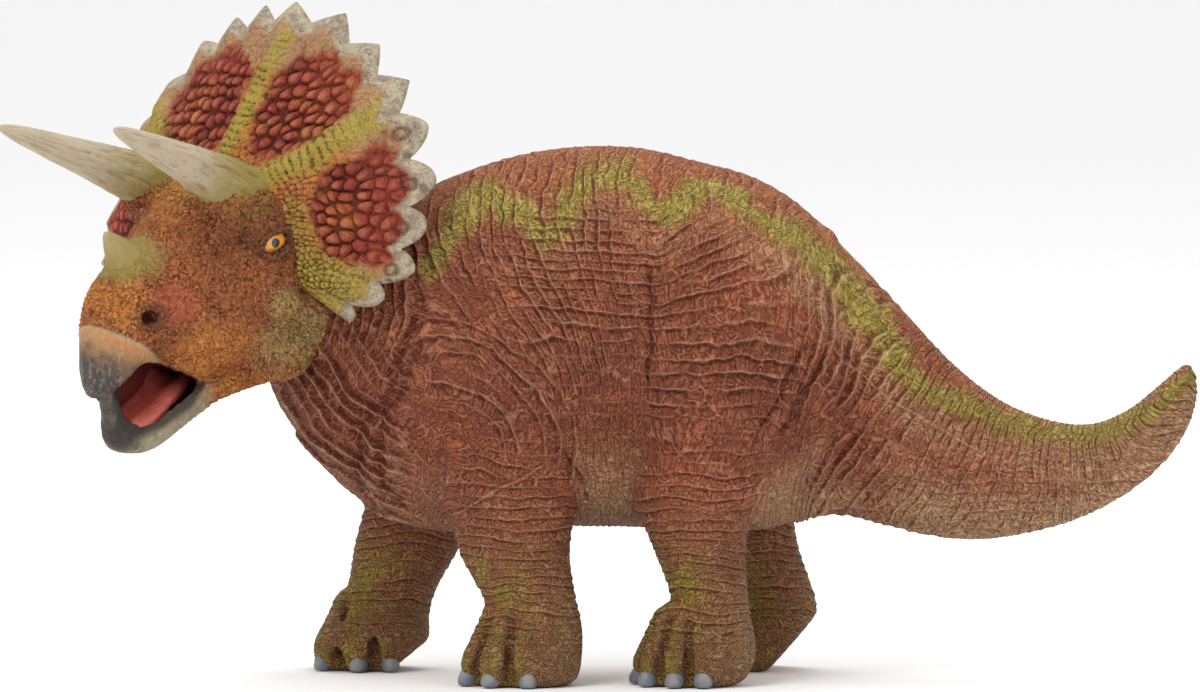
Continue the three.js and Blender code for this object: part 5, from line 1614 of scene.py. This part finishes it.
def eye_paint(colours):
    """The eye: an orange iris round a dark pupil under a clear gloss."""
    paint = Paint("dinosaur_eye")
    pupil, ray = paint.held("pupil"), paint.held("ray")
    fine = paint.grain(3200, 3)
    colour = paint.mix(ray * 0.5, colours.iris, darker(colours.iris, 0.5))
    colour = paint.mix(fine.rise(0.5, 0.8) * 0.4, colour, srgb(250, 190, 90))
    colour = paint.mix(pupil.rise(1.12, 0.92), colour, srgb(36, 34, 36))
    colour = paint.mix(pupil.rise(2.6, 3.2), colour, srgb(70, 36, 26))
    return paint.finish(colour, 0.16 + 0.1 * fine, fine, 0.02, coat_weight=0.8, coat_roughness=0.06)


def build_eyes(colours):
    """Both eyes, each an egg that lies behind the almond of its lids."""
    material = eye_paint(colours)
    for node, side in (("eye_left", 1), ("eye_right", -1)):
        unit, faces = egg(72, 48)
        tilt_cos, tilt_sin = math.cos(EYE_TILT), math.sin(EYE_TILT)
        along, up, out = unit[:, 0] * 3.7, unit[:, 2] * 2.5, unit[:, 1] * 2.0
        place = np.stack([EYE_OPENING[0] - 0.2 + along * tilt_cos - up * tilt_sin,
                          side * (EYE_OPENING[1] - 1.75) + out - along * side * 0.16,
                          EYE_OPENING[2] + along * tilt_sin + up * tilt_cos], 1)
        spot = np.hypot(along - 0.25, up - 0.1) / 0.95
        spot = np.where(unit[:, 1] * side > 0, spot, 9)
        ray = 0.5 + 0.5 * noise(np.stack([np.arctan2(up, along) * 4, spot * 0.4, spot * 0], 1), 801)
        place_piece(f"{node}_ball", head_to_figure(place), faces, [node], material,
                    {"pupil": spot, "ray": ray})


# Core

def build_core(colours):
    """The light filler inside the body: its own solid stays and gets a material."""
    paint = Paint("dinosaur_filler")
    patchy, fine = paint.grain(240, 4, 0.6), paint.grain(1500, 3, 0.6)
    pits = paint.node("ShaderNodeTexVoronoi", None, {"Vector": paint.place(), "Scale": 900})
    colour = paint.mix(patchy.rise(0.35, 0.7), colours.filler, darker(colours.filler, 0.8))
    # The pits are darkened with painted shade
    colour = paint.mix(pits.rise(0.3, 0.1) * 0.5, colour, darker(colours.filler, 0.6))
    material = paint.finish(colour, 0.8 + 0.1 * fine, pits.rise(0.1, 0.4) + fine * 0.4, 0.2)
    for slot in bpy.data.objects["torso_core"].material_slots:
        slot.material = material


# Stage

SENSOR_WIDTH = 36
BACKGROUND_STRENGTH = 0.96
FLOOR_RADIUS, FLOOR_SIDES, FLOOR_LEVEL = 15.0, 48, -0.0002  # in metres
LIGHT_AIM = (0, 0, 0.06)

# Each light's name, place, size and power
LIGHTS = [
    ("key_light", (-0.75, -1.0, 1.35), 0.7, 13), ("fill_light", (1.1, -1.1, 0.7), 1.2, 2),
    ("top_light", (0.1, 0.5, 1.6), 1.0, 8),
]


def build_stage(colours):
    """The pale floor, the soft lights and the camera at the photograph's angle."""
    scene = bpy.context.scene
    scene.view_settings.view_transform = "Standard"
    aim = to_frame([[0.0, 0.0, VIEW_AIM_HIGH + (VIEW_MIDDLE_ROW - VIEW_HEIGHT / 2) / VIEW_PIXELS_PER_MM]])[0]
    camera = bpy.data.objects.new("camera", bpy.data.cameras.new("camera"))
    scene.collection.objects.link(camera)
    away = np.array([0, -math.cos(VIEW_ELEVATION), math.sin(VIEW_ELEVATION)])
    camera.location = aim + away * VIEW_DISTANCE * MM
    camera.rotation_euler = (math.pi / 2 - VIEW_ELEVATION, 0, 0)
    camera.data.sensor_width = SENSOR_WIDTH
    camera.data.lens = SENSOR_WIDTH * VIEW_DISTANCE * VIEW_PIXELS_PER_MM / VIEW_WIDTH
    camera.data.clip_start, camera.data.clip_end = 0.1, 20
    scene.camera = camera

    floor_mesh = bpy.data.meshes.new("floor")
    side = np.arange(FLOOR_SIDES)
    turn = side / FLOOR_SIDES * 2 * np.pi
    rim = np.stack([np.cos(turn) * FLOOR_RADIUS, np.sin(turn) * FLOOR_RADIUS, turn * 0 + FLOOR_LEVEL], 1)
    fan = np.stack([side, (side + 1) % FLOOR_SIDES, np.full(FLOOR_SIDES, FLOOR_SIDES)], 1)
    fill_mesh(floor_mesh, np.vstack([rim, [[0, 0, FLOOR_LEVEL]]]), [fan])
    floor = bpy.data.objects.new("floor", floor_mesh)
    scene.collection.objects.link(floor)
    paint = Paint("floor_paper")
    paint.finish(paint.mix(paint.grain(6, 2) * 0.03, colours.floor, (0.9, 0.9, 0.9)), 0.9)
    floor_mesh.materials.append(paint.material)

    world = bpy.data.worlds.new("studio")
    scene.world = world
    world.use_nodes = True
    background = world.node_tree.nodes["Background"]
    background.inputs[0].default_value = (1, 1, 1, 1)
    background.inputs[1].default_value = BACKGROUND_STRENGTH
    for name, place, size, power in LIGHTS:
        lamp = bpy.data.lights.new(name, "AREA")
        lamp.size, lamp.energy = size, power
        light = bpy.data.objects.new(name, lamp)
        scene.collection.objects.link(light)
        light.location = place
        light.rotation_euler = (Vector(LIGHT_AIM) - light.location).to_track_quat("-Z", "Y").to_euler()


# Operators, panel and registration

class BuildPiece:
    """What every builder here shares: it reads the settings and reports that it is done."""

    bl_options = {"REGISTER", "UNDO"}

    def execute(self, context):
        self.build(context.scene)
        return {"FINISHED"}


class DINOSAUR_OT_body(BuildPiece, bpy.types.Operator):
    """Builds the skin of the trunk, the tail and the legs"""

    bl_idname = "dinosaur.body"
    bl_label = "Body skin"

    def build(self, scene):
        build_body(scene.dinosaur_sizes, scene.dinosaur_colours)


class DINOSAUR_OT_claws(BuildPiece, bpy.types.Operator):
    """Builds the claws of all four feet"""

    bl_idname = "dinosaur.claws"
    bl_label = "Claws"

    def build(self, scene):
        build_claws(scene.dinosaur_colours)


class DINOSAUR_OT_head(BuildPiece, bpy.types.Operator):
    """Builds the face with its beak and mouth, and the lower jaw"""

    bl_idname = "dinosaur.head"
    bl_label = "Face and lower jaw"

    def build(self, scene):
        build_head(scene.dinosaur_sizes, scene.dinosaur_colours)


class DINOSAUR_OT_tongue(BuildPiece, bpy.types.Operator):
    """Builds the tongue"""

    bl_idname = "dinosaur.tongue"
    bl_label = "Tongue"

    def build(self, scene):
        build_tongue(scene.dinosaur_colours)


class DINOSAUR_OT_frill(BuildPiece, bpy.types.Operator):
    """Builds the frill with its pebbled panels and spikes"""

    bl_idname = "dinosaur.frill"
    bl_label = "Frill"

    def build(self, scene):
        build_frill(scene.dinosaur_sizes, scene.dinosaur_colours)


class DINOSAUR_OT_horns(BuildPiece, bpy.types.Operator):
    """Builds the two brow horns and the nose horn"""

    bl_idname = "dinosaur.horns"
    bl_label = "Horns"

    def build(self, scene):
        build_horns(scene.dinosaur_colours)


class DINOSAUR_OT_eyes(BuildPiece, bpy.types.Operator):
    """Builds both eyes"""

    bl_idname = "dinosaur.eyes"
    bl_label = "Eyes"

    def build(self, scene):
        build_eyes(scene.dinosaur_colours)


class DINOSAUR_OT_core(BuildPiece, bpy.types.Operator):
    """Gives the light core its filler"""

    bl_idname = "dinosaur.core"
    bl_label = "Core filler"

    def build(self, scene):
        build_core(scene.dinosaur_colours)


class DINOSAUR_OT_stage(BuildPiece, bpy.types.Operator):
    """Sets the floor, the lights and the camera"""

    bl_idname = "dinosaur.stage"
    bl_label = "Stage"

    def build(self, scene):
        build_stage(scene.dinosaur_colours)


BUILDERS = [DINOSAUR_OT_body, DINOSAUR_OT_claws, DINOSAUR_OT_head, DINOSAUR_OT_tongue,
            DINOSAUR_OT_frill, DINOSAUR_OT_horns, DINOSAUR_OT_eyes, DINOSAUR_OT_core,
            DINOSAUR_OT_stage]


class DINOSAUR_PT_panel(bpy.types.Panel):
    """Lists the builders and their settings in the sidebar"""

    bl_label = "Dinosaur figure"
    bl_idname = "DINOSAUR_PT_panel"
    bl_space_type = "VIEW_3D"
    bl_region_type = "UI"
    bl_category = "Dinosaur"

    def draw(self, context):
        for builder in BUILDERS:
            self.layout.operator(builder.bl_idname)
        for group in (context.scene.dinosaur_sizes, context.scene.dinosaur_colours):
            for name in group.bl_rna.properties.keys():
                if name not in ("rna_type", "name"):
                    self.layout.prop(group, name)


CLASSES = [DinosaurSizes, DinosaurColours, *BUILDERS, DINOSAUR_PT_panel]


def register():
    for made in CLASSES:
        bpy.utils.register_class(made)
    bpy.types.Scene.dinosaur_sizes = PointerProperty(type=DinosaurSizes)
    bpy.types.Scene.dinosaur_colours = PointerProperty(type=DinosaurColours)


def unregister():
    del bpy.types.Scene.dinosaur_colours
    del bpy.types.Scene.dinosaur_sizes
    for made in reversed(CLASSES):
        bpy.utils.unregister_class(made)


def main():
    """Builds every piece in order."""
    register()
    for builder in BUILDERS:
        group, label = builder.bl_idname.split(".")
        getattr(getattr(bpy.ops, group), label)()


if __name__ == "__main__":
    main()
